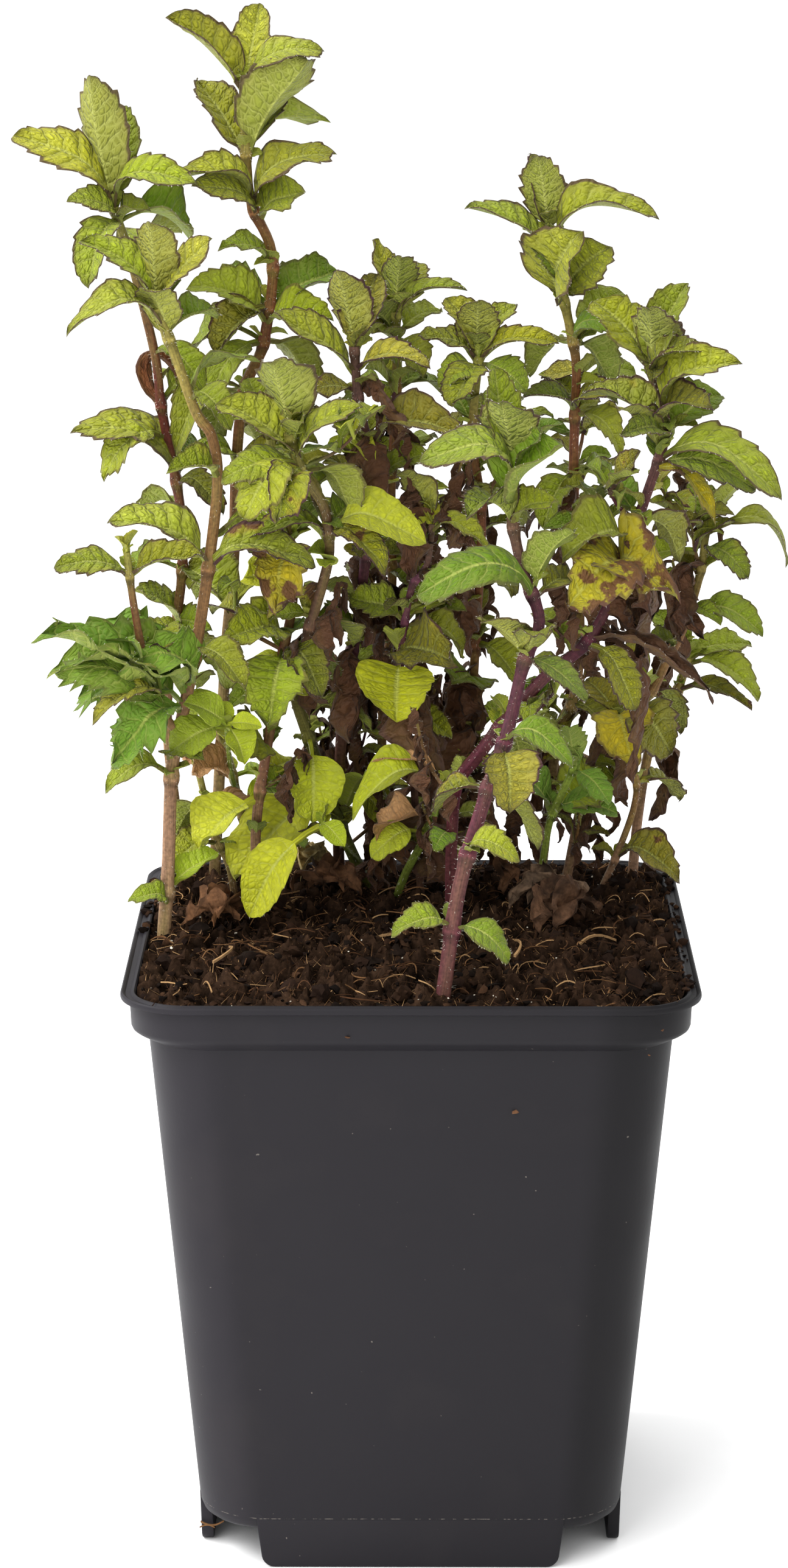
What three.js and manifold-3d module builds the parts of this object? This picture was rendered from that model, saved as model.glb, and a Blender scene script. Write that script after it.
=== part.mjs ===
// A potted mint plant: a square nursery pot, its soil, the leafy shoots that stand in the soil,
// and the dry leaves that have dropped on it. Millimetres, +Z up, the origin on the pot's axis
// at the surface it stands on, the front towards -Y.

import * as THREE from 'three';
import { mergeVertices } from 'three/addons/utils/BufferGeometryUtils.js';
import Module from 'manifold-3d';

const wasm = await Module();
wasm.setup();

// Driving dimensions of the pot
const POT_HEIGHT = 118;
const LIP_HALF = 55;
const BAND_HALF = 53.2;
const BODY_TOP_HALF = 49.9;
const BODY_FOOT_HALF = 41.4;
const CORNER_RADIUS = 12;
const WALL = 1.2;
const FLOOR_HEIGHT = 7.5;
const SHOULDER_DROP = 9.6;
const FOOT_ROUND = 2.4;
const FOOT_TAB = { topWidth: 60.6, footWidth: 57.6, thickness: 2.4, cornerRadius: 2, overlap: 1.5 };
const DRAIN_HOLES = { count: 4, radius: 4, ring: 27, sides: 8 };

// Driving dimensions of the soil: its rim, how far its middle rises, how high its clumps stand
const SOIL_LEVEL = 117.2;
const SOIL_DOME = 1.6;
const CLUMP_HEIGHT = 2.6;
const CLUMP_SEED = 11;
const SOIL_CORNER_STEPS = 2;

// The air that is kept between two pieces, and how a dry leaf is let down on the soil
const CLEARANCE = 0.3;
const DROP = 12;
const DROP_STEP = 0.05;
const DRY_TURN_STEP = 15;

// Driving dimensions of a stem: the spacing of its sections and how deep it stands in the soil
const STEM_STEP = 17;
const FEWEST_STEPS = 5;
const ROOT_DEPTH = 14;

// Driving dimensions of a mint blade. Its two halves fold up by FOLD of their width, it is BREADTH
// times as wide as its row says, and one shorter than FULL_LENGTH makes up YOUNG_GROWTH of that.
const MIDRIB_THICKNESS = 1.1;
const STALK_HALF_WIDTH = 0.5;
const FOLD = 0.22;
const BREADTH = 1.14;
const FULL_LENGTH = 17;
const YOUNG_GROWTH = 0.34;

// How far a blade's upper face leans to the front, or to the back where the shoot is filled out
const FACING_FRONT = 0.75;
const FACING_BACK = -0.6;

// The steepest a blade climbs, in radians, so that it keeps a level direction to fold about
const STEEPEST_CLIMB = 1.5;

// Detail under this size goes where blades and stems join
const FUSED_DETAIL = 0.25;

// Shares of the length and of the half width down one edge of a blade: stalk, tooth, notch
const EDGE = [[0, 0], [0.18, 0], [0.31, 0.95], [0.39, 0.84], [0.57, 0.99], [0.66, 0.76]];
const RIB = [0.28, 0.62];

// What a blade may give way by where it would touch a neighbour: turn and rise in degrees, size
const TURNS = [0, 13, -13, 26, -26, 39, -39];
const RISES = [0, 13, -13, 26, -26, 39];
const SIZES = [1, 0.86, 0.72, 0.58];

// Every shoot: its route from the soil to its tip in mm, the side of its square stem at the foot
// and at the tip, how many blades fill its back, and its blades one by one. A blade is [height on
// the stem, reach x, reach y, reach z, arch, plumpness]. Arch and plumpness are shares of its
// length. A side branch carries the name of the shoot that it grows from.
const SHOOTS = [
  {
    name: 'shoot_tall_left',
    route: [[-41, 43, 118], [-38, 36, 165], [-36, 32, 185], [-35, 26, 207], [-33, 20, 223],
      [-29, 16, 233], [-27, 12, 250], [-31, 10, 261], [-32, 9, 273], [-32, 8, 283]],
    girth: [3.4, 2.4],
    fill: 4,
    leaves: [
      [282, -14, -3, 16, 0.05, 0.42], [283, 3, 4, 16, 0, 0.45], [283, 15, -4, 9, 0.18, 0.36],
      [270, 11, -9, 19, 0.05, 0.52], [270, -11, 7, 14, 0.05, 0.5], [270, 5, 10, 12, 0.05, 0.5],
      [259, 16, -2, 12, 0.28, 0.5], [259, -16, -6, 8, 0.3, 0.42], [248, -8, -4, 4, 0.2, 0.5],
      [239, 14, 5, 7, 0.12, 0.55], [240, -12, 6, 4, 0.12, 0.55], [233, -12, -8, -10, 0.2, 0.4],
      [233, 10, 9, -11, 0.2, 0.5], [223, -7, 6, -11, 0.2, 0.5],
    ],
  },
  {
    name: 'shoot_left_high',
    route: [[-47, 39, 118], [-50, 35, 151], [-48, 29, 171], [-46, 25, 186], [-46, 20, 200],
      [-49, 14, 220], [-50, 9, 232], [-54, 3, 251], [-57, 0, 261]],
    girth: [3, 2.3],
    root: 6,
    fill: 4,
    leaves: [
      [260, -5, -6, 26, 0, 0.36], [260, 1, 8, 21, 0, 0.4], [261, -19, -3, 13, 0.2, 0.4],
      [260, 16, -7, 6, 0.35, 0.42], [258, 12, 5, -4, 0.3, 0.7], [258, -5, -10, -10, 0.25, 0.5],
      [205, -20, -6, 13, 0.25, 0.42], [205, 8, 9, 6, 0.2, 0.5], [220, -6, -5, 4, 0.35, 0.6],
      [221, 7, 8, 2, 0.3, 0.5], [186, -10, 5, -2, 0.2, 0.5], [185, 9, -8, -4, 0.2, 0.8],
    ],
  },
  {
    name: 'shoot_left_front',
    route: [[-49, -2, 118], [-48, -2, 131], [-47, -4, 150], [-45, -6, 161], [-42, -8, 175],
      [-39, -11, 193], [-37, -12, 210], [-38, -13, 219], [-41, -14, 224], [-45, -16, 236],
      [-48, -18, 244]],
    girth: [3.8, 2.4],
    root: 6,
    fill: 3,
    leaves: [
      [243, -1, -5, 19, 0, 0.42], [243, -13, -3, 16, 0.12, 0.4], [243, 11, -3, 14, 0.1, 0.42],
      [244, 3, 7, 10, 0, 0.5], [240, -18, -4, 0, 0.38, 0.42], [239, 8, 6, 2, 0.2, 0.5],
      [238, -3, -9, 11, 0.1, 0.5], [193, -19, -4, 10, 0.2, 0.42], [193, 21, -6, 5, 0.2, 0.35],
      [175, -11, -3, 2, 0.12, 0.5], [175, 8, 7, -7, 0.2, 0.6], [150, -11, -3, -1, 0.35, 0.5],
      [126, 8, 5, 6, 0.1, 0.45],
    ],
  },
  {
    name: 'shoot_left_front',
    route: [[-45, -6, 159], [-48, -9, 164], [-51, -13, 174], [-53, -17, 187], [-54, -20, 198]],
    girth: [2.2, 1.9],
    branch: true,
    fill: 0,
    leaves: [
      [193, -13, -3, 3, 0.15, 0.42], [193, 13, -3, 4, 0.12, 0.4], [166, -21, -5, 10, 0.35, 0.5],
      [166, -15, 2, 17, 0.25, 0.55], [167, -7, 8, 15, 0.15, 0.6], [165, -13, -9, 2, 0.35, 0.42],
      [165, -7, 2, -6, 0.3, 0.5], [175, 5, 5, 6, 0.1, 0.6],
    ],
  },
  {
    name: 'shoot_middle_left',
    route: [[-9, 34, 118], [-14, 28, 131], [-20, 16, 152], [-23, 8, 164], [-22, 3, 170],
      [-20, -2, 179], [-16, -9, 194], [-16, -14, 202], [-17, -17, 207], [-21, -20, 214],
      [-23, -22, 221]],
    girth: [3.2, 2.4],
    fill: 3,
    leaves: [
      [220, -4, -6, 16, 0.05, 0.62], [220, 2, 7, 11, 0, 0.5], [214, 12, -4, 13, 0.22, 0.42],
      [214, -15, -3, 15, 0.08, 0.42], [213, 8, 5, -8, 0.3, 0.7], [213, -15, -6, 1, 0.2, 0.5],
      [213, -4, -10, -5, 0.25, 0.6], [196, 18, -7, 2, 0.45, 0.5], [196, -15, -7, 5, 0.3, 0.32],
      [201, 6, 9, 2, 0.2, 0.5], [180, -6, -6, 8, 0.3, 0.6], [179, -6, -5, -10, 0.2, 0.4],
      [180, 8, 8, -5, 0.2, 0.5], [154, 2, -8, -15, 0.2, 0.62], [140, -17, -12, -15, 0.15, 0.5],
      [132, 5, -4, 12, 0.1, 0.6],
    ],
  },
  {
    name: 'shoot_middle_olive',
    route: [[-30, 8, 118], [-31, 8, 136], [-28, 5, 157], [-25, 3, 174], [-23, 1, 186],
      [-24, -1, 198], [-27, -3, 217]],
    girth: [3, 2.4],
    fill: 2,
    leaves: [
      [216, -10, -3, 8, 0.15, 0.5], [216, -5, 4, 12, 0.05, 0.5], [216, 3, 8, 10, 0, 0.5],
      [196, -8, -6, -5, 0.2, 0.8], [196, 6, 8, 6, 0.1, 0.5], [174, -8, -7, -11, 0.2, 0.75],
      [174, 8, 9, -7, 0.2, 0.6], [143, -10, -6, -8, 0.15, 0.7], [145, 8, 8, 3, 0.2, 0.6],
      [165, -7, 6, 1, 0.2, 0.6],
    ],
  },
  {
    name: 'shoot_centre_purple',
    route: [[-15, 42, 118], [-15, 35, 134], [-14, 25, 155], [-13, 19, 166], [-11, 15, 175],
      [-9, 9, 191], [-7, 5, 201], [-7, 2, 209], [-10, -2, 223], [-11, -4, 235]],
    girth: [3.4, 2.4],
    fill: 3,
    leaves: [
      [234, -3, -5, 16, 0.05, 0.5], [234, 3, 4, 14, 0.05, 0.5], [229, -16, -5, 13, 0.08, 0.38],
      [230, 14, -6, 4, 0.15, 0.4], [225, 6, -4, 4, 0.2, 0.7], [214, 19, -8, 6, 0.25, 0.45],
      [213, -6, 6, 4, 0.1, 0.5], [206, 9, -2, 7, 0.15, 0.45], [206, -8, 3, 9, 0.12, 0.5],
      [191, -5, 8, -9, 0.2, 0.6], [192, 5, 8, 5, 0.2, 0.5], [171, -5, -8, -5, 0.3, 0.6],
      [166, 7, 9, 4, 0.2, 0.5], [140, 7, -3, -6, 0.2, 0.6], [156, -8, 9, -1, 0.2, 0.5],
    ],
  },
  {
    name: 'shoot_heart_thin',
    route: [[2, 28, 118], [0, 20, 149], [-2, 15, 159], [-2, 10, 172], [0, 5, 186],
      [3, 3, 191], [4, 0, 200]],
    girth: [2.2, 1.7],
    fill: 2,
    leaves: [
      [199, -6, -4, 12, 0.12, 0.45], [199, 4, -3, 9, 0.1, 0.45], [198, 9, -5, -1, 0.3, 0.4],
      [198, -8, 4, -4, 0.2, 0.5], [188, -7, -3, 6, 0.25, 0.5], [179, -7, 5, 4, 0.12, 0.7],
      [179, 6, 8, 3, 0.1, 0.7], [178, 11, 4, -5, 0.2, 0.5], [171, -4, -9, -9, 0.12, 0.95],
      [158, 8, -5, -2, 0.2, 0.4], [150, -8, 6, 2, 0.2, 0.5],
    ],
  },
  {
    name: 'shoot_front_purple',
    route: [[6, -46, 118], [9, -46, 139], [14, -42, 156], [18, -38, 167], [21, -34, 179],
      [24, -32, 187], [21, -30, 196], [19, -28, 205], [19, -27, 213]],
    girth: [4, 2.6],
    fill: 2,
    leaves: [
      [212, -1, -6, 18, 0.05, 0.58], [212, -5, 2, 22, 0.05, 0.36], [212, 8, -3, 13, 0.08, 0.5],
      [212, 4, 8, 10, 0.05, 0.5], [211, -17, -7, 6, 0.4, 0.5], [204, -7, -8, 5, 0.25, 0.65],
      [204, 6, -3, 5, 0.2, 0.6], [191, -22, -7, 4, 0.32, 0.45], [192, 6, -4, 13, 0.1, 0.5],
      [191, 8, 8, 1, 0.2, 0.5], [180, -8, -6, 8, 0.15, 0.7], [180, 4, -8, 6, 0.2, 0.6],
      [180, 9, -4, -6, 0.2, 0.42], [165, 12, -6, -1, 0.35, 0.45], [164, 2, -7, -8, 0.2, 0.8],
      [157, 8, 4, -11, 0.15, 0.34], [157, -8, 6, -5, 0.2, 0.4], [145, 7, -4, 1, 0.35, 0.5],
      [131, -9, -3, 1, 0.25, 0.55], [131, 9, -3, -3, 0.25, 0.5],
    ],
  },
  {
    name: 'shoot_right_arch',
    route: [[8, 8, 118], [8, -2, 137], [9, -9, 150], [13, -14, 157], [17, -17, 163],
      [26, -19, 174], [33, -20, 180], [38, -20, 189], [41, -20, 199], [45, -18, 210],
      [48, -15, 220], [46, -11, 230]],
    girth: [3.4, 2.5],
    fill: 3,
    leaves: [
      [229, -10, 3, 18, 0.05, 0.5], [229, 5, 3, 20, 0.1, 0.4], [229, -3, -5, 16, 0.05, 0.6],
      [228, 2, 6, 11, 0, 0.5], [222, 14, -6, 13, 0.28, 0.5], [219, 11, 4, 8, 0.1, 0.6],
      [220, -15, 5, 9, 0.12, 0.42], [217, -10, -9, 10, 0.12, 0.36], [215, 23, -6, -5, 0.3, 0.36],
      [213, 10, -4, -3, 0.25, 0.4], [199, -12, -6, 0, 0.3, 0.8], [199, 6, -6, 0, 0.3, 0.8],
      [197, -5, -6, -9, 0.1, 0.6], [204, -6, 6, 6, 0.1, 0.5], [204, 9, 6, -7, 0.2, 0.5],
      [181, 24, -5, -4, 0.12, 0.16], [180, 9, -6, -10, 0.25, 0.45], [178, -6, 6, 6, 0.2, 0.5],
      [163, 5, 6, -10, 0.2, 0.5],
    ],
  },
  {
    name: 'shoot_right_tall',
    route: [[27, 41, 118], [30, 35, 149], [33, 30, 158], [34, 26, 171], [33, 20, 191],
      [32, 15, 207], [32, 12, 220], [32, 9, 230], [30, 7, 240], [26, 5, 256]],
    girth: [3, 2.4],
    fill: 4,
    leaves: [
      [255, -1, -4, 16, 0, 0.48], [255, -4, 4, 16, 0.05, 0.4], [250, -17, -4, 13, 0.1, 0.3],
      [252, 20, -5, 9, 0.3, 0.36], [242, 1, -10, 16, 0.1, 0.75], [242, -6, 7, 9, 0.1, 0.5],
      [234, 10, 4, 10, 0.1, 0.5], [234, 6, 4, -7, 0.2, 0.6], [234, -7, 6, -6, 0.2, 0.5],
      [219, 8, -4, -4, 0.25, 0.5], [219, -8, -5, 4, 0.2, 0.5], [207, -5, -6, -7, 0.2, 0.5],
      [207, 8, 8, -4, 0.2, 0.5], [191, 6, 8, 3, 0.2, 0.5], [191, -6, 6, -5, 0.2, 0.5],
      [157, 5, -6, -3, 0.2, 0.5], [154, -7, 7, 1, 0.2, 0.5],
    ],
  },
  {
    name: 'shoot_right_brown',
    route: [[32, 36, 118], [36, 28, 142], [41, 24, 152], [48, 17, 163], [51, 14, 170],
      [54, 12, 177], [57, 11, 188], [58, 10, 198]],
    girth: [2.8, 2.1],
    fill: 2,
    leaves: [
      [197, 4, -3, 8, 0.05, 0.5], [197, -2, 4, 7, 0.05, 0.5], [196, 17, 3, -7, 0.42, 0.36],
      [196, -9, -4, 2, 0.2, 0.5], [193, 6, -6, -3, 0.2, 0.5], [189, -6, -5, -5, 0.3, 0.7],
      [189, 5, -2, -6, 0.35, 0.7], [180, 14, -4, -2, 0.2, 0.45], [180, -7, 7, 4, 0.2, 0.5],
      [163, -6, 6, 5, 0.2, 0.5], [163, 5, 5, -7, 0.2, 0.5],
    ],
  },
  {
    name: 'shoot_right_outer',
    route: [[46, 40, 118], [47, 40, 131], [49, 36, 147], [52, 32, 155], [54, 29, 160],
      [56, 26, 168]],
    girth: [3, 2.3],
    root: 6,
    fill: 2,
    leaves: [
      [166, 13, -5, -6, 0.3, 0.42], [167, 11, 3, 3, 0.15, 0.5], [167, -5, 4, 8, 0.1, 0.5],
      [160, 14, -8, -1, 0.2, 0.28], [159, -6, 8, 2, 0.2, 0.5], [148, 6, 9, -7, 0.2, 0.5],
    ],
  },
  {
    name: 'shoot_right_curved',
    route: [[39, 30, 118], [42, 25, 127], [45, 20, 138], [45, 15, 146], [42, 11, 153],
      [41, 9, 159]],
    girth: [1.8, 1.7],
    fill: 0,
    leaves: [
      [158, 8, -5, -4, 0.45, 0.9], [158, -5, 4, 7, 0.1, 0.5], [158, 6, 6, 6, 0.1, 0.5],
      [126, 12, -5, -1, 0.3, 0.6], [144, 7, 8, -4, 0.2, 0.5],
    ],
  },
  {
    name: 'shoot_right_bright',
    route: [[26, 28, 118], [28, 22, 134], [30, 17, 141], [33, 12, 149]],
    girth: [2, 1.9],
    fill: 0,
    leaves: [
      [148, -1, -3, 7, 0.05, 0.5], [147, 5, -5, -3, 0.2, 0.5], [136, -8, -2, 10, 0.12, 0.5],
      [137, 11, -4, 1, 0.2, 0.5], [136, 11, 7, 7, 0.12, 0.9],
    ],
  },
  {
    name: 'shoot_left_lime',
    route: [[-34, 36, 118], [-34, 32, 127], [-35, 25, 138], [-38, 16, 155]],
    girth: [2.2, 2.1],
    fill: 1,
    leaves: [
      [155, -7, -3, 6, 0.15, 0.6], [155, -8, -4, -2, 0.2, 0.6], [155, 4, -6, -3, 0.15, 0.6],
      [143, -8, -3, 5, 0.1, 0.6], [144, 6, 6, -3, 0.2, 0.5], [135, 7, 6, 3, 0.1, 0.5],
    ],
  },
  {
    name: 'shoot_left_pale',
    route: [[-36, 24, 118], [-37, 20, 126], [-40, 16, 135], [-43, 11, 150]],
    girth: [2, 1.9],
    fill: 0,
    leaves: [
      [150, 4, 5, 4, 0.1, 0.5], [139, -6, 4, -5, 0.2, 0.6], [137, 6, -3, 4, 0.2, 0.5],
      [131, -8, -3, -2, 0.2, 0.6],
    ],
  },
  {
    name: 'shoot_centre_small',
    route: [[-3, 24, 118], [-1, 18, 125], [3, 10, 135], [6, 3, 146]],
    girth: [2.2, 1.9],
    fill: 0,
    leaves: [
      [145, -18, -4, -1, 0.42, 0.5], [146, -13, -2, 9, 0.2, 0.22], [143, 6, 5, 2, 0.2, 0.5],
      [135, -8, -3, -3, 0.3, 0.6], [140, -10, 5, -6, 0.2, 0.6],
    ],
  },
  {
    name: 'shoot_back_tall',
    route: [[-5, 44, 118], [-6, 36, 150], [-4, 30, 177], [-4, 22, 203], [-3, 15, 224],
      [-3, 10, 240]],
    girth: [2.8, 2.3],
    fill: 3,
    leaves: [
      [238, -6, 2, 15, 0.05, 0.4], [239, 0, -5, 11, 0.05, 0.5], [239, 4, 6, 9, 0.05, 0.5],
      [238, 13, -3, 7, 0.22, 0.32], [234, 7, 3, 4, 0.2, 0.6], [234, -5, -6, 3, 0.2, 0.6],
      [234, 4, -6, -4, 0.2, 0.6], [224, -8, 5, -3, 0.2, 0.5], [224, 8, 8, -2, 0.2, 0.5],
      [208, 7, 8, 4, 0.2, 0.5], [207, -7, 9, 1, 0.2, 0.5], [186, 7, 8, -5, 0.2, 0.5],
    ],
  },
  {
    name: 'shoot_back_middle',
    route: [[11, 42, 118], [12, 34, 144], [13, 28, 171], [14, 20, 197], [12, 12, 215],
      [13, 4, 232]],
    girth: [2.8, 2.3],
    fill: 3,
    leaves: [
      [231, -5, 2, 12, 0.08, 0.5], [231, -1, -4, 12, 0.05, 0.55], [231, 6, 3, 10, 0.15, 0.45],
      [231, 15, -4, 4, 0.2, 0.3], [230, -10, -3, 5, 0.2, 0.42], [230, -3, -8, -5, 0.15, 0.6],
      [230, 6, -3, -3, 0.2, 0.6], [217, -6, 6, 6, 0.1, 0.5], [217, 8, 8, 4, 0.1, 0.5],
      [200, -7, 8, -5, 0.2, 0.5], [200, 8, 9, -4, 0.2, 0.5], [186, 7, 8, -5, 0.2, 0.5],
      [170, 6, -4, -4, 0.2, 0.6],
    ],
  },
];

// Dry leaves on the soil: where the stalk lies, its heading in degrees, length, arch, plumpness
const DRY_LEAVES = [
  ['dry_leaf_tan', [-20, 28], 20, 15, 0.2, 0.55, 0xc2a36b],
  ['dry_leaf_brown', [-14, 14], 130, 12, 0.3, 0.8, 0x6b4630],
  ['dry_leaf_grey', [24, 6], 40, 14, 0.3, 0.8, 0x5b4635],
  ['dry_leaf_back', [20, 36], 160, 13, 0.3, 0.7, 0x64432c],
  ['dry_leaf_left', [-38, -4], 70, 12, 0.25, 0.7, 0x70492f],
  ['dry_leaf_right', [34, 4], 60, 13, 0.3, 0.75, 0x5a3d2a],
].map(([name, at, heading, length, arch, plump, colour]) => (
  { name, at, heading, length, arch, plump, colour }
));

const radians = (degrees) => degrees * Math.PI / 180;

/** A repeatable stream of draws between 0 and 1. */
function drawsFrom(seed) {
  let state = seed >>> 0;
  return () => {
    state = (state + 0x6d2b79f5) >>> 0;
    let mixed = Math.imul(state ^ (state >>> 15), 1 | state);
    mixed = (mixed + Math.imul(mixed ^ (mixed >>> 7), 61 | mixed)) ^ mixed;
    return ((mixed ^ (mixed >>> 14)) >>> 0) / 4294967296;
  };
}

/** The closed solid of a geometry whose vertices are merged by place. */
function solidOf(geometry) {
  geometry.deleteAttribute('normal');
  geometry.deleteAttribute('uv');
  const merged = mergeVertices(geometry, 1e-5);
  return new wasm.Manifold(new wasm.Mesh({
    numProp: 3,
    vertProperties: new Float32Array(merged.attributes.position.array),
    triVerts: new Uint32Array(merged.index.array),
  }));
}

/** A geometry from points and triangles. */
function geometryOf(points, triangles) {
  const geometry = new THREE.BufferGeometry();
  const places = points.flatMap((point) => point.toArray());
  geometry.setAttribute('position', new THREE.Float32BufferAttribute(places, 3));
  geometry.setIndex(triangles.flat());
  return geometry;
}

/** A named mesh from a closed solid. */
function meshOf(name, solid, material) {
  const { vertProperties, triVerts } = solid.getMesh();
  const geometry = new THREE.BufferGeometry();
  geometry.setAttribute('position', new THREE.BufferAttribute(vertProperties, 3));
  geometry.setIndex(new THREE.BufferAttribute(triVerts, 1));
  geometry.computeVertexNormals();
  const mesh = new THREE.Mesh(geometry, material);
  mesh.name = name;
  return mesh;
}

/** A closed solid through rings of equal count, each counterclockwise seen from the last one. */
function loftOf(rings) {
  const count = rings[0].length;
  const triangles = [];
  for (let ring = 0; ring < rings.length - 1; ring += 1) {
    for (let i = 0; i < count; i += 1) {
      const a = ring * count + i;
      const b = ring * count + ((i + 1) % count);
      triangles.push([a, b, b + count], [a, b + count, a + count]);
    }
  }
  const last = (rings.length - 1) * count;
  for (let i = 1; i < count - 1; i += 1) {
    triangles.push([0, i + 1, i], [last, last + i, last + i + 1]);
  }
  return solidOf(geometryOf(rings.flat(), triangles));
}

/** A level ring of a square with round corners. */
function squareRing(half, radius, z, cornerSteps = 3) {
  const points = [];
  const reach = half - radius;
  for (let corner = 0; corner < 4; corner += 1) {
    const middle = Math.PI / 4 + corner * Math.PI / 2;
    for (let step = 0; step <= cornerSteps; step += 1) {
      const angle = middle + (step / cornerSteps - 0.5) * Math.PI / 2;
      points.push(new THREE.Vector3(
        Math.sign(Math.cos(middle)) * reach + radius * Math.cos(angle),
        Math.sign(Math.sin(middle)) * reach + radius * Math.sin(angle),
        z,
      ));
    }
  }
  return points;
}

/** The outer half width of the pot's tapered body at a height. */
function bodyHalf(z) {
  const share = (z - FLOOR_HEIGHT) / (POT_HEIGHT - SHOULDER_DROP - FLOOR_HEIGHT);
  return BODY_FOOT_HALF + (BODY_TOP_HALF - BODY_FOOT_HALF) * share;
}

/** The pot: tapered walls, shoulder, band and lip, a floor with drain holes and four foot tabs. */
function makePot() {
  const top = POT_HEIGHT;
  const footTop = FLOOR_HEIGHT + FOOT_ROUND;
  const outside = [
    [BODY_FOOT_HALF - 3, CORNER_RADIUS - 1, FLOOR_HEIGHT],
    [BODY_FOOT_HALF - 0.9, CORNER_RADIUS + 1, FLOOR_HEIGHT + FOOT_ROUND / 4],
    [bodyHalf(footTop), CORNER_RADIUS + 2, footTop],
    [BODY_TOP_HALF, CORNER_RADIUS, top - SHOULDER_DROP],
    [BAND_HALF - 0.4, CORNER_RADIUS, top - 7.2],
    [BAND_HALF, CORNER_RADIUS, top - 2.6],
    [LIP_HALF - 0.3, CORNER_RADIUS, top - 1.9],
    [LIP_HALF, CORNER_RADIUS, top - 0.4],
    [LIP_HALF - 0.4, CORNER_RADIUS, top],
  ];
  const inside = [
    [BAND_HALF - WALL + 0.5, CORNER_RADIUS - WALL, top],
    [BAND_HALF - WALL, CORNER_RADIUS - WALL, top - 0.6],
    [BAND_HALF - WALL - 0.4, CORNER_RADIUS - WALL, top - 6.9],
    [BODY_TOP_HALF - WALL, CORNER_RADIUS - WALL, top - SHOULDER_DROP + 0.2],
    [bodyHalf(footTop) - WALL, CORNER_RADIUS + 1, footTop + 0.2],
    [BODY_FOOT_HALF - 3.4, CORNER_RADIUS - 1, FLOOR_HEIGHT + WALL],
  ];
  const rings = [...outside, ...inside].map(([half, radius, z]) => squareRing(half, radius, z));
  let pot = loftOf(rings);
  for (let side = 0; side < 4; side += 1) {
    pot = pot.add(makeFootTab(side * Math.PI / 2));
  }
  const { count, radius, ring, sides } = DRAIN_HOLES;
  for (let hole = 0; hole < count; hole += 1) {
    const angle = (hole + 0.5) * 2 * Math.PI / count;
    const drill = new THREE.CylinderGeometry(radius, radius, FLOOR_HEIGHT, sides);
    drill.rotateX(Math.PI / 2);
    drill.translate(ring * Math.cos(angle), ring * Math.sin(angle), FLOOR_HEIGHT);
    pot = pot.subtract(solidOf(drill));
  }
  return pot;
}

/** One tab under the middle of a side, in line with the tapered wall, its lower corners round. */
function makeFootTab(turn) {
  const { topWidth, footWidth, thickness, cornerRadius, overlap } = FOOT_TAB;
  const height = FLOOR_HEIGHT + overlap;
  const shape = new THREE.Shape();
  shape.moveTo(-topWidth / 2, height);
  shape.lineTo(-footWidth / 2, cornerRadius);
  shape.quadraticCurveTo(-footWidth / 2 + 0.2, 0, -footWidth / 2 + cornerRadius, 0);
  shape.lineTo(footWidth / 2 - cornerRadius, 0);
  shape.quadraticCurveTo(footWidth / 2 - 0.2, 0, footWidth / 2, cornerRadius);
  shape.lineTo(topWidth / 2, height);
  const options = { depth: thickness, bevelEnabled: false, curveSegments: 3 };
  const tab = new THREE.ExtrudeGeometry(shape, options);
  tab.rotateX(Math.PI / 2);
  const outer = bodyHalf(0);
  const lean = (bodyHalf(height) - outer) / height;
  const place = tab.attributes.position;
  for (let i = 0; i < place.count; i += 1) {
    place.setY(i, place.getY(i) + thickness - outer - lean * place.getZ(i));
  }
  tab.rotateZ(turn);
  return solidOf(tab);
}

/** The centres of a stem's sections, spread along a smooth curve through its route. */
function centresOf(shoot) {
  const points = shoot.route.map(([x, y, z]) => new THREE.Vector3(x, y, z));
  const curve = new THREE.CatmullRomCurve3(points, false, 'catmullrom', 0.5);
  const steps = Math.max(FEWEST_STEPS, Math.round(curve.getLength() / STEM_STEP));
  return Array.from({ length: steps + 1 }, (_, i) => curve.getPoint(i / steps));
}

/** The point of a stem at a height. */
function pointAtHeight(centres, z) {
  const above = centres.findIndex((centre) => centre.z >= z);
  if (above <= 0) {
    return centres[above === 0 ? 0 : centres.length - 1].clone();
  }
  const [low, high] = [centres[above - 1], centres[above]];
  return low.clone().lerp(high, (z - low.z) / (high.z - low.z));
}

/** A four-sided stem along its curve, with its root straight down; grown is added to its sides. */
function makeStem(shoot, grown = 0) {
  const centres = centresOf(shoot);
  if (!shoot.branch) {
    const foot = centres[0].clone();
    centres.unshift(foot.setZ(SOIL_LEVEL - (shoot.root ?? ROOT_DEPTH) - grown / 2));
  }
  const [footSide, tipSide] = shoot.girth;
  const rings = centres.map((centre, index) => {
    const ahead = centres[Math.min(index + 1, centres.length - 1)];
    const behind = centres[Math.max(index - 1, 0)];
    const along = ahead.clone().sub(behind).normalize();
    const across = new THREE.Vector3(1, 0, 0).addScaledVector(along, -along.x).normalize();
    const other = along.clone().cross(across);
    const half = (footSide + (tipSide - footSide) * index / (centres.length - 1) + grown) / 2;
    return [[1, 1], [-1, 1], [-1, -1], [1, -1]].map(([u, v]) => (
      centre.clone().addScaledVector(across, u * half).addScaledVector(other, v * half)
    ));
  });
  return loftOf(rings);
}

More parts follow.
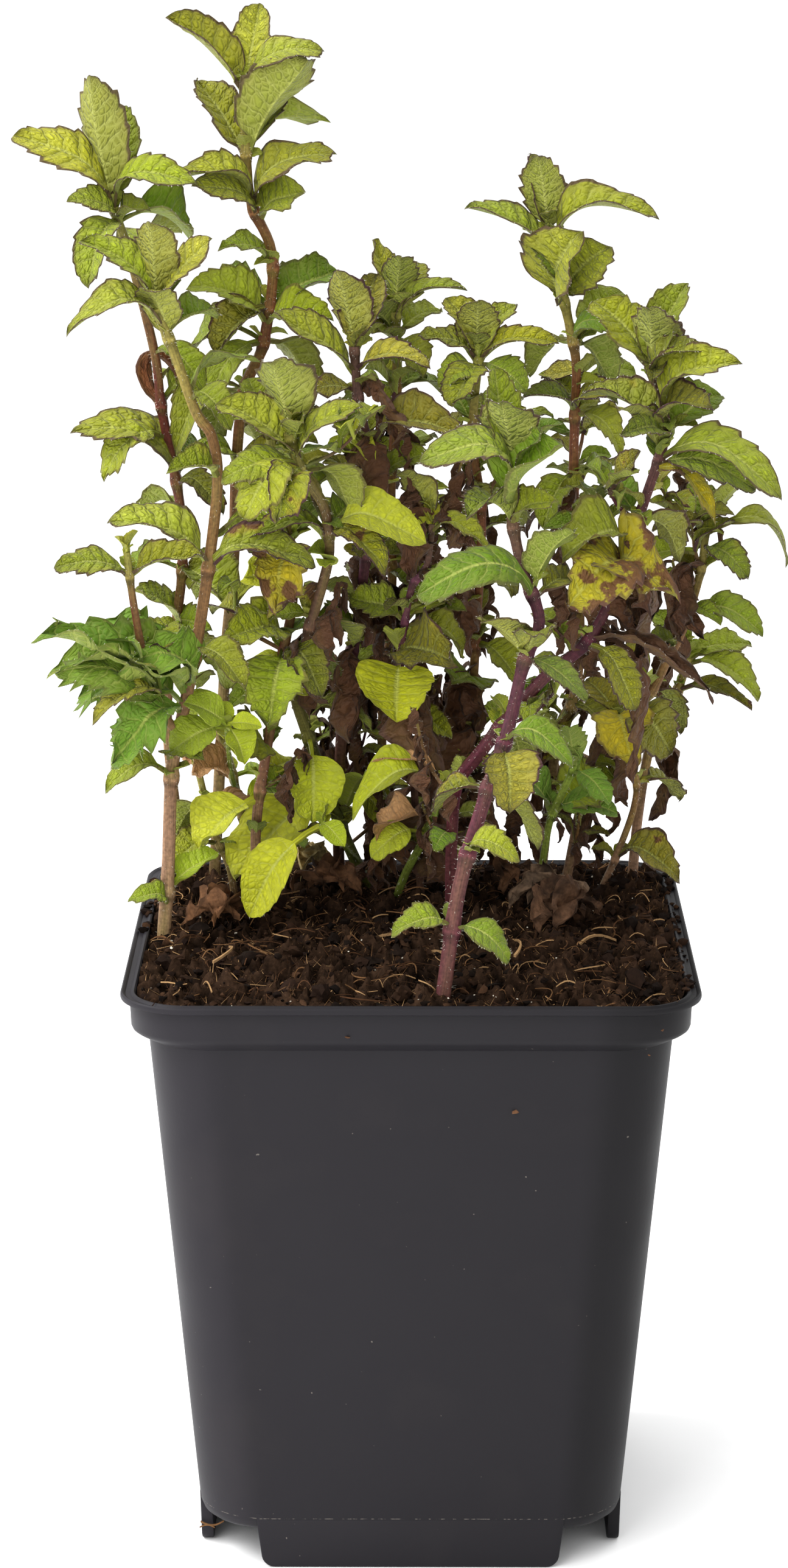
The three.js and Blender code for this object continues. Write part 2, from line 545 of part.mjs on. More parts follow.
/** The blades at the back of a shoot, drawn from a seeded stream: the lower, the flatter. */
function fillLeaves(shoot, seed) {
  const draw = drawsFrom(seed);
  const foot = shoot.route[0][2];
  const tip = shoot.route[shoot.route.length - 1][2];
  const leaves = [];
  for (let i = 0; i < shoot.fill; i += 1) {
    const below = (i + 0.3 + 0.4 * draw()) / shoot.fill * 0.72 * (tip - foot);
    const heading = radians(90 + (draw() - 0.5) * 150);
    const rise = radians(Math.max(55 - 1.3 * below, -5) + (draw() - 0.5) * 24);
    const length = 11 + 5 * draw() + (below < 35 ? 4 : 0);
    const level = length * Math.cos(rise);
    leaves.push([
      tip - below, level * Math.cos(heading), level * Math.sin(heading), length * Math.sin(rise),
      0.12 + 0.2 * draw(), 0.42 + 0.16 * draw(), FACING_BACK,
    ]);
  }
  return leaves;
}

/** The blade's own axes and size after it gives way by a turn, a rise and a share of its size. */
function bladePose([, x, y, z, arch, plump, facing = FACING_FRONT], turn, rise, size) {
  const reach = Math.hypot(x, y, z);
  const length = (reach + YOUNG_GROWTH * Math.max(0, FULL_LENGTH - reach)) * size;
  const heading = Math.atan2(y, x) + radians(turn);
  const climb = Math.min(Math.atan2(z, Math.hypot(x, y)) + radians(rise), STEEPEST_CLIMB);
  const along = new THREE.Vector3(
    Math.cos(climb) * Math.cos(heading),
    Math.cos(climb) * Math.sin(heading),
    Math.sin(climb),
  );
  const level = new THREE.Vector3(-Math.sin(heading), Math.cos(heading), 0);
  const upper = along.clone().cross(level);
  upper.y -= facing;
  upper.addScaledVector(along, -upper.dot(along)).normalize();
  const across = upper.clone().cross(along);
  return { length, along, across, upper, arch: arch * length, half: BREADTH * plump * length / 2 };
}

/** A point of a blade: its share of the length, its side, its share of the half width, its lift. */
function bladePoint(base, pose, share, side, width, lift) {
  const half = side === 0 ? 0 : Math.max(pose.half * width, STALK_HALF_WIDTH);
  const fold = width * FOLD * half;
  return base.clone()
    .addScaledVector(pose.along, pose.length * share)
    .addScaledVector(pose.upper, pose.arch * 4 * share * (1 - share) + fold + lift)
    .addScaledVector(pose.across, side * half);
}

/** A closed thin blade: thick along its midrib, sharp at its toothed edge, alike on both faces. */
function makeBlade(base, pose) {
  const points = [];
  const at = (share, side, width, lift) => {
    points.push(bladePoint(base, pose, share, side, width, lift));
    return points.length - 1;
  };
  const edges = [1, -1].map((side) => EDGE.map(([share, width]) => at(share, side, width, 0)));
  const tip = at(1, 0, 0, 0);
  const faces = [1, -1].map((face) => (
    RIB.map((share) => at(share, 0, 0, face * MIDRIB_THICKNESS / 2))
  ));
  const triangles = [];
  faces.forEach(([low, high], face) => {
    edges.forEach(([root, stalk, toothA, notchA, toothB, notchB], side) => {
      const flip = (face === 0) === (side === 0);
      [[root, stalk, low], [stalk, toothA, low], [toothA, notchA, low], [notchA, high, low],
        [notchA, toothB, high], [toothB, notchB, high], [notchB, tip, high],
      ].forEach(([a, b, c]) => triangles.push(flip ? [a, c, b] : [a, b, c]));
    });
    const [left, right] = [edges[0][0], edges[1][0]];
    triangles.push(face === 0 ? [left, right, low] : [left, low, right]);
  });
  return solidOf(geometryOf(points, triangles));
}

/** Whether two solids come closer than the clearance. */
function tooClose(solid, box, other) {
  const reach = CLEARANCE + 0.1;
  const apart = [0, 1, 2].some((axis) => (
    box.min[axis] > other.box.max[axis] + reach || box.max[axis] < other.box.min[axis] - reach
  ));
  return !apart && solid.minGap(other.solid, 1) < CLEARANCE;
}

/** Whether a solid comes too close to any of the placed pieces. */
function touches(solid, others) {
  const box = solid.boundingBox();
  return others.some((other) => tooClose(solid, box, other));
}

/** A blade of a shoot at the first turn, rise and size that clears all the other pieces. */
function growBlade(leaf, centres, others) {
  const base = pointAtHeight(centres, leaf[0]);
  for (const size of SIZES) {
    for (const rise of RISES) {
      for (const turn of TURNS) {
        const solid = makeBlade(base, bladePose(leaf, turn, rise, size));
        if (!touches(solid, others)) {
          return solid;
        }
      }
    }
  }
  return null;
}

/** One body from touching solids, with any hollow that they close in filled. */
function fuse(solids) {
  const shells = wasm.Manifold.union(solids).simplify(FUSED_DETAIL).decompose();
  return wasm.Manifold.union(shells.filter((shell) => shell.volume() > 0));
}

/** The soil: it fills the pot, domes a little, is clumped on top and has a hole for each stem. */
function makeSoil() {
  const draw = drawsFrom(CLUMP_SEED);
  const gap = CLEARANCE;
  const edge = BAND_HALF - WALL - gap - 0.5;
  const rings = [
    [BODY_FOOT_HALF - 4, CORNER_RADIUS - 1, FLOOR_HEIGHT + WALL + gap],
    [bodyHalf(FLOOR_HEIGHT + 3) - WALL - gap - 0.3, CORNER_RADIUS, FLOOR_HEIGHT + 4],
    [BODY_TOP_HALF - WALL - gap - 0.2, CORNER_RADIUS - WALL - gap, POT_HEIGHT - SHOULDER_DROP],
    [edge, CORNER_RADIUS - WALL - gap, POT_HEIGHT - 6.4],
  ].map(([half, radius, z]) => squareRing(half, radius, z, SOIL_CORNER_STEPS));
  [1, 0.9, 0.74, 0.56, 0.36, 0.14].forEach((share) => {
    const level = SOIL_LEVEL + SOIL_DOME * (1 - share * share);
    const loose = CLUMP_HEIGHT * (share === 1 ? 0.3 : 1);
    const corner = Math.max((CORNER_RADIUS - WALL - gap) * share, 1);
    const ring = squareRing(edge * share, corner, level, SOIL_CORNER_STEPS);
    rings.push(ring.map((point) => point.setZ(level + (draw() - 0.5) * loose)));
  });
  let soil = loftOf(rings);
  SHOOTS.filter((shoot) => !shoot.branch).forEach((shoot) => {
    soil = soil.subtract(makeStem(shoot, 2 * CLEARANCE + 0.2));
  });
  return soil;
}

/** A solid let down step by step until the next step would bring it too close to a piece. */
function letDown(solid, below) {
  let lowest = solid;
  for (let sunk = 0; sunk < DROP; sunk += DROP_STEP) {
    const lower = lowest.translate([0, 0, -DROP_STEP]);
    if (touches(lower, below)) {
      break;
    }
    lowest = lower;
  }
  return lowest;
}

/** A dry leaf on the soil, at the first turn from its heading where it lies clear of the stems. */
function makeDryLeaf({ name, at, heading, length, arch, plump }, below) {
  const start = new THREE.Vector3(at[0], at[1], SOIL_LEVEL + DROP);
  const reach = [length * Math.cos(radians(heading)), length * Math.sin(radians(heading)), 0.6];
  const ground = below.find((piece) => piece.name === 'soil');
  for (let turn = 0; turn < 360; turn += DRY_TURN_STEP) {
    const pose = bladePose([0, ...reach, arch, plump, 0], turn, 0, 1);
    const blade = letDown(makeBlade(start, pose), below);
    if (!touches(blade, below) && blade.minGap(ground.solid, 1) < CLEARANCE + DROP_STEP) {
      return blade;
    }
  }
  throw new Error(`no room on the soil for ${name}`);
}

/** A plain finish without metal. */
function finish(color, roughness) {
  return new THREE.MeshStandardMaterial({ color, roughness, metalness: 0 });
}

/** A placed piece: its name, its solid and its box. */
function pieceOf(name, solid) {
  return { name, solid, box: solid.boundingBox() };
}

const plant = new THREE.Group();
const pot = makePot();
const soil = makeSoil();
plant.add(meshOf('pot', pot, finish(0x3b3a3f, 0.5)));
plant.add(meshOf('soil', soil, finish(0x2a1e18, 0.95)));

const placed = [pieceOf('pot', pot), pieceOf('soil', soil)];
SHOOTS.forEach((shoot) => placed.push(pieceOf(shoot.name, makeStem(shoot))));

DRY_LEAVES.forEach((leaf) => {
  const solid = makeDryLeaf(leaf, placed);
  placed.push(pieceOf(leaf.name, solid));
  plant.add(meshOf(leaf.name, solid, finish(leaf.colour, 0.85)));
});

SHOOTS.forEach((shoot, index) => {
  const centres = centresOf(shoot);
  [...shoot.leaves, ...fillLeaves(shoot, index + 1)].forEach((leaf) => {
    const others = placed.filter((piece) => piece.name !== shoot.name);
    const blade = growBlade(leaf, centres, others);
    if (blade) {
      placed.push(pieceOf(shoot.name, blade));
    }
  });
});

[...new Set(SHOOTS.map((shoot) => shoot.name))].forEach((name) => {
  const solids = placed.filter((piece) => piece.name === name).map((piece) => piece.solid);
  plant.add(meshOf(name, fuse(solids), finish(0x7d9440, 0.7)));
});

export default plant;
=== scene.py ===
"""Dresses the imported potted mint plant: fine leaves, stems, soil and pot around the CAD frame.

Every size is in millimetres until a mesh is made. +Z is up, -Y is the front, and the origin lies
on the pot's axis at the surface it stands on.
"""

import logging
import math
from collections.abc import Callable, Iterable, Sequence
from dataclasses import dataclass, field
from enum import Enum
from functools import partial
from itertools import product

import bpy
import numpy as np
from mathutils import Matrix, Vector, noise

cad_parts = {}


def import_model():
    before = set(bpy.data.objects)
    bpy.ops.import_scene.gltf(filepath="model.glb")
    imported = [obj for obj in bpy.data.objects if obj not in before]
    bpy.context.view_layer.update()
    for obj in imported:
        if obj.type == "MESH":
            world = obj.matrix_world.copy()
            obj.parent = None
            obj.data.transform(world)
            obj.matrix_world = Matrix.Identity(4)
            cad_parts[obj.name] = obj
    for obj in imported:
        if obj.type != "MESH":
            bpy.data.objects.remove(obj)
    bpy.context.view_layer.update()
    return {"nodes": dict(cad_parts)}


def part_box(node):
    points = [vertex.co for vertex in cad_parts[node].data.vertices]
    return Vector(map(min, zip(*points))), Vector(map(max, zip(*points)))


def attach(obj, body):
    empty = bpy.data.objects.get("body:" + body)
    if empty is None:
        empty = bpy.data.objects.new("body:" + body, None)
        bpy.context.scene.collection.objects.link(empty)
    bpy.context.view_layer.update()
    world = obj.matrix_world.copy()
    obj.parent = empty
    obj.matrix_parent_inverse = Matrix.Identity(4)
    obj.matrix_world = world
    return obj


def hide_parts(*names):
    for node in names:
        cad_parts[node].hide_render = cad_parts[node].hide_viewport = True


LOG = logging.getLogger("potted_mint")
MM = 0.001
UP = np.array([0.0, 0.0, 1.0])
NOISE_SEED = 7
Add = Callable[..., bpy.types.NodeSocket]
Marks = np.ndarray | tuple[float, ...]


# Small shared tools


def linear(hex_colour: str) -> tuple[float, float, float, float]:
    """Turns an sRGB hex colour to linear light.

    Args:
        hex_colour: six hexadecimal digits after a hash sign.

    Returns:
        The linear red, green and blue, and an alpha of one.
    """
    channels = [int(hex_colour[i:i + 2], 16) / 255 for i in (1, 3, 5)]
    light = [c / 12.92 if c <= 0.04045 else ((c + 0.055) / 1.055) ** 2.4 for c in channels]
    return (*light, 1.0)


def rgb(hex_colour: str) -> np.ndarray:
    """Gives an sRGB hex colour as three linear numbers that can be reckoned with."""
    return np.array(linear(hex_colour)[:3])


# What each word of a finish adds: the node's type, the inputs that it is given in order, the
# output that goes on, and its own settings. Any other word is the operation of a Math node.
STEPS = {
    "TINT": ("Attribute", (), "Vector", {"attribute_name": "tint"}),
    "TRAITS": ("Attribute", (), "Vector", {"attribute_name": "traits"}),
    "GROWTH": ("UVMap", (), 0, {"uv_map": "growth_map"}),
    "PLACE": ("TexCoord", (), "Object", {}),
    "X": ("SeparateXYZ", (0,), 0, {}),
    "Y": ("SeparateXYZ", (0,), 1, {}),
    "Z": ("SeparateXYZ", (0,), 2, {}),
    "STRETCH": ("VectorMath", (0, 1), 0, {"operation": "MULTIPLY"}),
    "SHADE": ("VectorMath", (0, "Scale"), 0, {"operation": "SCALE"}),
    "NOISE": ("TexNoise", ("Vector", "Scale", "Detail", "Roughness"), 0, {}),
    "CELLS": ("TexVoronoi", ("Vector", "Scale"), "Distance", {"feature": "DISTANCE_TO_EDGE"}),
    "SLOPE": ("MapRange", (0, 1, 2, 3, 4), 0, {}),
    "STEP": ("MapRange", (0, 1, 2, 3, 4), 0, {"interpolation_type": "SMOOTHSTEP"}),
    "MIX": ("Mix", (0, 6, 7), 2, {"data_type": "RGBA"}),
    "BUMP": ("Bump", ("Strength", "Distance", "Height"), 0, {}),
    "SURFACE": ("BsdfPrincipled", ("Base Color", "Roughness", "Normal", "Specular IOR Level",
                                   "Sheen Weight", "Sheen Roughness", "IOR"), 0, {}),
    "GLOW": ("BsdfTranslucent", ("Color",), 0, {}),
    "BLEND": ("MixShader", (0, 1, 2), 0, {}),
}


def add_node(tree: bpy.types.NodeTree, word: str, *values: object) -> bpy.types.NodeSocket:
    """Adds a shader node with its settings, values and links.

    Args:
        tree: the node tree that gets the node.
        word: a word of STEPS, or the operation of a Math node.
        values: what its inputs get in order: a value, a socket, or a tuple of a word and its own
            values, which becomes a node too.

    Returns:
        The output that goes on.
    """
    kind, keys, output, settings = STEPS.get(word, ("Math", (0, 1, 2), 0, {"operation": word}))
    node = tree.nodes.new(f"ShaderNode{kind}")
    for name, value in settings.items():
        setattr(node, name, value)
    for key, value in zip(keys, values):
        if isinstance(value, tuple) and isinstance(value[0], str):
            value = add_node(tree, *value)
        if isinstance(value, bpy.types.NodeSocket):
            tree.links.new(value, node.inputs[key])
        else:
            node.inputs[key].default_value = value
    return node.outputs[output]


class Finish:
    """A finish: it draws its own shader, and this makes a material of it."""

    name: str

    def shader(self, add: Add) -> bpy.types.NodeSocket:
        """Adds the finish's nodes and gives their last output."""
        raise NotImplementedError

    def material(self) -> bpy.types.Material:
        """Builds the material, named for what the real one is and how it was made.

        Returns:
            The material.
        """
        material = bpy.data.materials.new(self.name)
        material.use_nodes = True
        tree = material.node_tree
        tree.nodes.clear()
        output = tree.nodes.new("ShaderNodeOutputMaterial")
        tree.links.new(self.shader(partial(add_node, tree)), output.inputs["Surface"])
        return material


def deselect_all() -> None:
    """Clears the selection, so that an operator acts on the new piece alone."""
    if bpy.context.mode != "OBJECT":
        bpy.ops.object.mode_set(mode="OBJECT")
    bpy.ops.object.select_all(action="DESELECT")


def apply_modifier(piece: bpy.types.Object, kind: str, **settings: object) -> None:
    """Adds a modifier to the active piece and applies it.

    Args:
        piece: the piece that the modifier shapes.
        kind: the modifier's type name.
        settings: properties of the modifier.
    """
    modifier = piece.modifiers.new(kind.lower(), kind)
    for name, value in settings.items():
        setattr(modifier, name, value)
    bpy.context.view_layer.objects.active = piece
    bpy.ops.object.modifier_apply(modifier=modifier.name)


def edit_edges(piece: bpy.types.Object, chosen: np.ndarray | None = None) -> None:
    """Opens a piece in edit mode with only the chosen edges selected.

    Args:
        piece: the active piece.
        chosen: one truth value for each edge, or none for all of them.
    """
    bpy.ops.object.mode_set(mode="EDIT")
    bpy.ops.mesh.select_mode(type="EDGE")
    bpy.ops.mesh.select_all(action="SELECT" if chosen is None else "DESELECT")
    if chosen is not None:
        bpy.ops.object.mode_set(mode="OBJECT")
        piece.data.edges.foreach_set("select", chosen)
        bpy.ops.object.mode_set(mode="EDIT")


def ends_of(mesh: bpy.types.Mesh) -> np.ndarray:
    """Gives the numbers of the two vertices of each edge."""
    ends = np.empty(len(mesh.edges) * 2, np.int32)
    mesh.edges.foreach_get("vertices", ends)
    return ends.reshape(-1, 2)


def places_of(mesh: bpy.types.Mesh) -> np.ndarray:
    """Gives the mesh's vertices as rows of x, y and z."""
    places = np.empty(len(mesh.vertices) * 3)
    mesh.vertices.foreach_get("co", places)
    return places.reshape(-1, 3)


def move_to(mesh: bpy.types.Mesh, places: np.ndarray) -> None:
    """Moves the mesh's vertices to rows of x, y and z in metres."""
    mesh.vertices.foreach_set("co", places.ravel())


def paint(mesh: bpy.types.Mesh, label: str, rows: np.ndarray) -> None:
    """Keeps three numbers for each vertex as the attribute that a finish reads."""
    attribute = mesh.attributes.new(label, "FLOAT_VECTOR", "POINT")
    attribute.data.foreach_set("vector", rows.astype(np.float32).ravel())


def smooth_by_angle(piece: bpy.types.Object, degrees: float) -> None:
    """Shades a piece smooth except at edges sharper than an angle.

    Args:
        piece: the piece to shade.
        degrees: the least angle of an edge that stays sharp.
    """
    deselect_all()
    piece.select_set(True)
    bpy.context.view_layer.objects.active = piece
    bpy.ops.object.shade_smooth_by_angle(angle=math.radians(degrees))
    piece.select_set(False)


def unit(vector: np.ndarray) -> np.ndarray:
    """Gives the vector at a length of one."""
    return vector / max(float(np.linalg.norm(vector)), 1e-9)


def units(vectors: np.ndarray) -> np.ndarray:
    """Gives each row of vectors at a length of one."""
    return vectors / np.linalg.norm(vectors, axis=1, keepdims=True)


def length_of(line: np.ndarray) -> float:
    """Gives the length of a line of points."""
    return np.linalg.norm(np.diff(line, axis=0), axis=1).sum()


def bell(distance: np.ndarray, width: float) -> np.ndarray:
    """Gives a bump of height one that fades over a width."""
    return np.exp(-(distance / width) ** 2)


def ramp(value: np.ndarray, low: float, high: float) -> np.ndarray:
    """Gives a smooth step from 0 at low to 1 at high."""
    share = np.clip((value - low) / (high - low), 0, 1)
    return share * share * (3 - 2 * share)


class Draws:
    """A repeatable stream of draws between 0 and 1, the same as the frame's shoots use."""

    def __init__(self, seed: int) -> None:
        """Starts the stream at a seed."""
        self.state = seed & 0xFFFFFFFF

    def __call__(self) -> float:
        """Gives the next draw."""
        whole = 0xFFFFFFFF
        self.state = (self.state + 0x6D2B79F5) & whole
        mixed = ((self.state ^ (self.state >> 15)) * (1 | self.state)) & whole
        extra = ((mixed ^ (mixed >> 7)) * (61 | mixed)) & whole
        mixed = ((mixed + extra) & whole) ^ mixed
        return ((mixed ^ (mixed >> 14)) & whole) / (whole + 1)

    def between(self, low: float, high: float) -> float:
        """Gives a draw between two values."""
        return low + (high - low) * self()

    def angle(self) -> float:
        """Gives a drawn heading."""
        return self.between(0, 2 * math.pi)

    def one_of(self, items: Sequence) -> object:
        """Gives one of some items."""
        return items[int(self() * len(items))]


def noise_at(places: Iterable[Sequence[float]]) -> np.ndarray:
    """Gives smooth noise at each of many places."""
    return np.array([noise.noise(Vector(place)) for place in places])


@dataclass
class Pattern:
    """The points and faces of a shape that is modelled once and copied."""

    points: np.ndarray
    loops: np.ndarray
    starts: np.ndarray

    @classmethod
    def taken_from(cls, piece: bpy.types.Object) -> "Pattern":
        """Reads a modelled piece and removes it.

        Args:
            piece: the finished master piece.

        Returns:
            Its points and faces.
        """
        mesh = piece.data
        loops = np.empty(len(mesh.loops), np.int32)
        mesh.loops.foreach_get("vertex_index", loops)
        starts = np.empty(len(mesh.polygons), np.int32)
        mesh.polygons.foreach_get("loop_start", starts)
        pattern = cls(places_of(mesh), loops, starts)
        bpy.data.objects.remove(piece)
        bpy.data.meshes.remove(mesh)
        return pattern


@dataclass
class MeshDraft:
    """Copies of patterns that are gathered for one piece, with the marks its finish reads."""

    copies: list[tuple] = field(default_factory=list)
    point_count: int = 0
    corner_count: int = 0

    def add(self, pattern: Pattern, points: np.ndarray, uv: Marks = (0, 0),
            tint: Marks = (1, 1, 1), traits: Marks = (0, 0, 0)) -> None:
        """Adds one copy of a pattern.

        Args:
            pattern: the shape whose faces are copied.
            points: the copy's own points in mm.
            uv: where each point lies on the piece's map.
            tint: the linear colour of each point, or one for all.
            traits: three marks of each point, or one row for all.
        """
        marks = [np.broadcast_to(np.asarray(rows, float), (len(points), width))
                 for rows, width in ((uv, 2), (tint, 3), (traits, 3))]
        self.copies.append((points * MM, pattern.loops + self.point_count,
                            pattern.starts + self.corner_count, *marks))
        self.point_count += len(points)
        self.corner_count += len(pattern.loops)

    def piece(self, name: str, material: bpy.types.Material, nodes: list[str], slot: str,
              sharp: float = 40.0) -> None:
        """Makes the gathered copies one piece that rides on the root body.

        Args:
            name: the piece's name.
            material: its finish.
            nodes: the CAD nodes that it stands for.
            slot: the name of a material slot; it is not used.
            sharp: the least angle in degrees of an edge that is shaded sharp.
        """
        places, loops, starts, maps, tints, traits = map(np.concatenate, zip(*self.copies))
        mesh = bpy.data.meshes.new(name)
        mesh.vertices.add(self.point_count)
        mesh.loops.add(self.corner_count)
        mesh.polygons.add(len(starts))
        move_to(mesh, places)
        mesh.loops.foreach_set("vertex_index", loops)
        mesh.polygons.foreach_set("loop_start", starts)
        mesh.update(calc_edges=True)
        mesh.uv_layers.new(name="growth_map").data.foreach_set("uv", maps[loops].ravel())
        paint(mesh, "tint", tints)
        paint(mesh, "traits", traits)
        mesh.materials.append(material)
        piece = bpy.data.objects.new(name, mesh)
        bpy.context.scene.collection.objects.link(piece)
        smooth_by_angle(piece, sharp)
        dress(piece, nodes)


def dress(piece: bpy.types.Object, nodes: list[str]) -> None:
    """Sets a piece on the root body, in place of its CAD nodes.

    Args:
        piece: the finished piece.
        nodes: the CAD nodes that it stands for.
    """
    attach(piece, "root")
    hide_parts(*nodes)
    LOG.info("%s: %d faces", piece.name, len(piece.data.polygons))


# Finishes


@dataclass(frozen=True)
class MintLeafFinish(Finish):
    """A living mint leaf: velvety and dull, quilted between pale veins, its edge purple-brown.

    The tint attribute carries the leaf's own green. The traits attribute carries how much of the
    point is underside, how strong the purple edge is and how far the leaf has aged.
    """

    name: str = "living mint leaf"
    vein_count: int = 7
    roughness: float = 0.56
    see_through: float = 0.2
    vein: str = "#c0c468"
    underside: str = "#9ea34e"
    edge: str = "#4a302e"
    bronze: str = "#77693a"
    aged: str = "#6b4a2b"
    ageing: str = "#9f942b"

    def shader(self, add: Add) -> bpy.types.NodeSocket:
        """Draws the veins and blotches, wears and edges the leaf, and lets light through it.

        Args:
            add: the function that adds a node to the finish's tree.

        Returns:
            The shader's output.
        """
        tint, marks, growth, place = (add(word) for word in ("TINT", "TRAITS", "GROWTH", "PLACE"))
        under, edge, age = (add(axis, marks) for axis in "XYZ")
        across, along = (add(axis, growth) for axis in "XY")
        alive = add("STEP", ("DIVIDE", ("Y", tint), ("X", tint)), 0.62, 0.9)
        under = add("MULTIPLY", under, alive)
        side = add("ABSOLUTE", ("MULTIPLY_ADD", across, 2.0, -1.0))

        # Side veins run where the quilting has its creases, and thin out towards the edge
        wander = add("MULTIPLY_ADD", ("NOISE", place, 420.0, 1.0), 0.6, -0.3)
        phase = add("PINGPONG", ("MULTIPLY_ADD", along, float(self.vein_count), wander), 0.5)
        lateral = add("MULTIPLY", ("STEP", phase, 0.1, 0.01), ("STEP", side, 1.0, 0.45))
        midrib = add("STEP", side, 0.1, 0.02)
        net = add("CELLS", ("STRETCH", growth, (9.0, 17.0, 1.0)), 1.0)
        cell = add("STEP", net, 0.0, 0.3)

        # Blotches about 3 mm across, a grain of about 0.25 mm, and patches of age about 6 mm across
        blotch = add("NOISE", place, 330.0, 3.0)
        grain = add("NOISE", place, 3900.0, 2.0)
        patch = add("NOISE", place, 150.0, 4.0, 0.6)

        # Light and shade of the quilting, then the underside, the net, the bronze tinge, the veins
        pillow = add("MULTIPLY", ("STEP", phase, 0.0, 0.34), ("STEP", side, 0.0, 0.25))
        shade = add("MULTIPLY_ADD", blotch, 0.7, 0.6)
        for part, depth, rest in ((("MULTIPLY", pillow, edge), 0.2, 0.88), (cell, 0.2, 0.88),
                                  (grain, 0.22, 0.89)):
            shade = add("MULTIPLY", shade, ("MULTIPLY_ADD", part, depth, rest))
        net_share = add("MULTIPLY", ("STEP", net, 0.12, 0.0), ("MULTIPLY_ADD", under, 0.2, 0.1))
        tinge = add("MULTIPLY", ("STEP", ("ADD", side, blotch), 0.75, 1.75), edge)
        vein_share = add("MAXIMUM",
                         ("MULTIPLY", lateral, ("MULTIPLY_ADD", under, 0.2, 0.24)),
                         ("MULTIPLY", midrib, ("MULTIPLY_ADD", along, -0.55, 0.82)))

        # Age yellows the leaf in patches and from its side, and then kills it; its edge is purple
        worn = add("SUBTRACT", ("ADD", patch, ("MULTIPLY_ADD", side, 0.12, -0.06)),
                   ("MULTIPLY_ADD", age, -0.5, 0.83))
        rim = add("ADD", side, ("MULTIPLY_ADD", patch, 0.16, -0.08))
        rim = add("MAXIMUM", ("STEP", rim, 0.86, 0.95),
                  ("MULTIPLY", ("STEP", along, 0.86, 1.02), patch))
        colour = add("SHADE", tint, shade)
        for share, over in (
                (("MULTIPLY", under, 0.45), self.underside),
                (("MULTIPLY", net_share, alive), self.vein),
                (("MULTIPLY", tinge, 0.5), self.bronze),
                (("MULTIPLY", vein_share, alive), self.vein),
                (("MULTIPLY", ("STEP", worn, -0.09, 0.03), 0.75), self.ageing),
                (("STEP", worn, 0.0, 0.05), self.aged),
                (("MULTIPLY", rim, edge), self.edge)):
            colour = add("MIX", share, colour, linear(over))

        relief = add("MULTIPLY", ("MAXIMUM", midrib, lateral), -0.5)
        for part, height in ((cell, 0.9), (grain, 0.35), (pillow, 0.8)):
            relief = add("ADD", relief, ("MULTIPLY", part, height))
        bump = add("BUMP", ("MULTIPLY_ADD", edge, 0.5, 0.4), 0.00045, relief)
        face = add("SURFACE", colour, self.roughness, bump, 0.2, 0.07, 0.45)
        return add("BLEND", self.see_through, face, ("GLOW", colour))


@dataclass(frozen=True)
class GrownFinish(Finish):
    """A stem, root, crumb or dead scrap: a tint from the attribute, streaked and a little rough.

    Stretch along the growth map draws streaks, as on a fibrous stem.
    """

    name: str
    roughness: float
    streak_scale: tuple[float, float, float]
    contrast: float
    relief_mm: float
    specular: float
    speck: str = "#d8c9a8"
    speck_share: float = 0.0

    def shader(self, add: Add) -> bpy.types.NodeSocket:
        """Shades the tint by its streaks and by a grain of about 0.7 mm, with specks.

        Args:
            add: the function that adds a node to the finish's tree.

        Returns:
            The shader's output.
        """
        streak = add("NOISE", ("STRETCH", ("GROWTH",), self.streak_scale), 1.0, 4.0)
        fine = add("NOISE", ("PLACE",), 1500.0, 3.0)
        both = add("ADD", streak, fine)
        colour = add("SHADE", ("TINT",), ("MULTIPLY_ADD", both, self.contrast, 1 - self.contrast))
        if self.speck_share > 0:
            start = 1 - self.speck_share
            colour = add("MIX", ("SLOPE", fine, start, start + 0.05), colour, linear(self.speck))
        bump = add("BUMP", 0.7, self.relief_mm * MM, both)
        return add("SURFACE", colour, self.roughness, bump, self.specular)


@dataclass(frozen=True)
class ThermoformedPotFinish(Finish):
    """Anthracite polypropylene drawn from a sheet: satin, lightly scuffed, dusty near its foot."""

    name: str = "thermoformed polypropylene"
    base: str = "#1d1b1f"
    worn: str = "#9a9187"
    dust: str = "#5d564f"
    roughness: float = 0.5
    trim_z: float = 0.0103
    taper: float = 0.0842
    foot_half: float = 0.0408

    def shader(self, add: Add) -> bpy.types.NodeSocket:
        """Clouds and dusts the plastic, fades one side of it and darkens the other.

        Args:
            add: the function that adds a node to the finish's tree.

        Returns:
            The shader's output.
        """
        place = add("PLACE")
        cloud = add("NOISE", place, 45.0, 5.0)
        grain = add("NOISE", place, 1400.0, 2.0)
        # Specks of dust a few tenths of a millimetre wide, and a nicked trim line above the foot
        height = add("Z", place)
        trim = add("MULTIPLY", ("COMPARE", height, self.trim_z, 0.00008),
                   ("SLOPE", grain, 0.5, 0.62))
        speck = add("MAXIMUM", ("SLOPE", ("NOISE", place, 900.0, 1.0), 0.8, 0.83), trim)
        # Painted light and shade: the left side and corner lighter, the right side and corner darker
        out = add("DIVIDE", ("X", place), ("MULTIPLY_ADD", height, self.taper, self.foot_half))
        level = add("MULTIPLY_ADD", out, -0.16, 0.88)
        for low, high, change in ((-0.68, -0.82, 0.3), (0.66, 0.8, -0.32)):
            level = add("ADD", level, ("STEP", out, low, high, 0.0, change))
        colour = add("MIX", ("SLOPE", cloud, 0.55, 0.85, 0.0, 0.05),
                     linear(self.base), linear(self.dust))
        colour = add("MIX", ("MULTIPLY", speck, 0.3), ("SHADE", colour, level), linear(self.worn))
        rough = add("MULTIPLY_ADD", cloud, 0.25, self.roughness - 0.1)
        bump = add("BUMP", 0.25, 0.00006, grain)
        return add("SURFACE", colour, rough, bump, 0.16, 0.0, 0.5, 1.49)


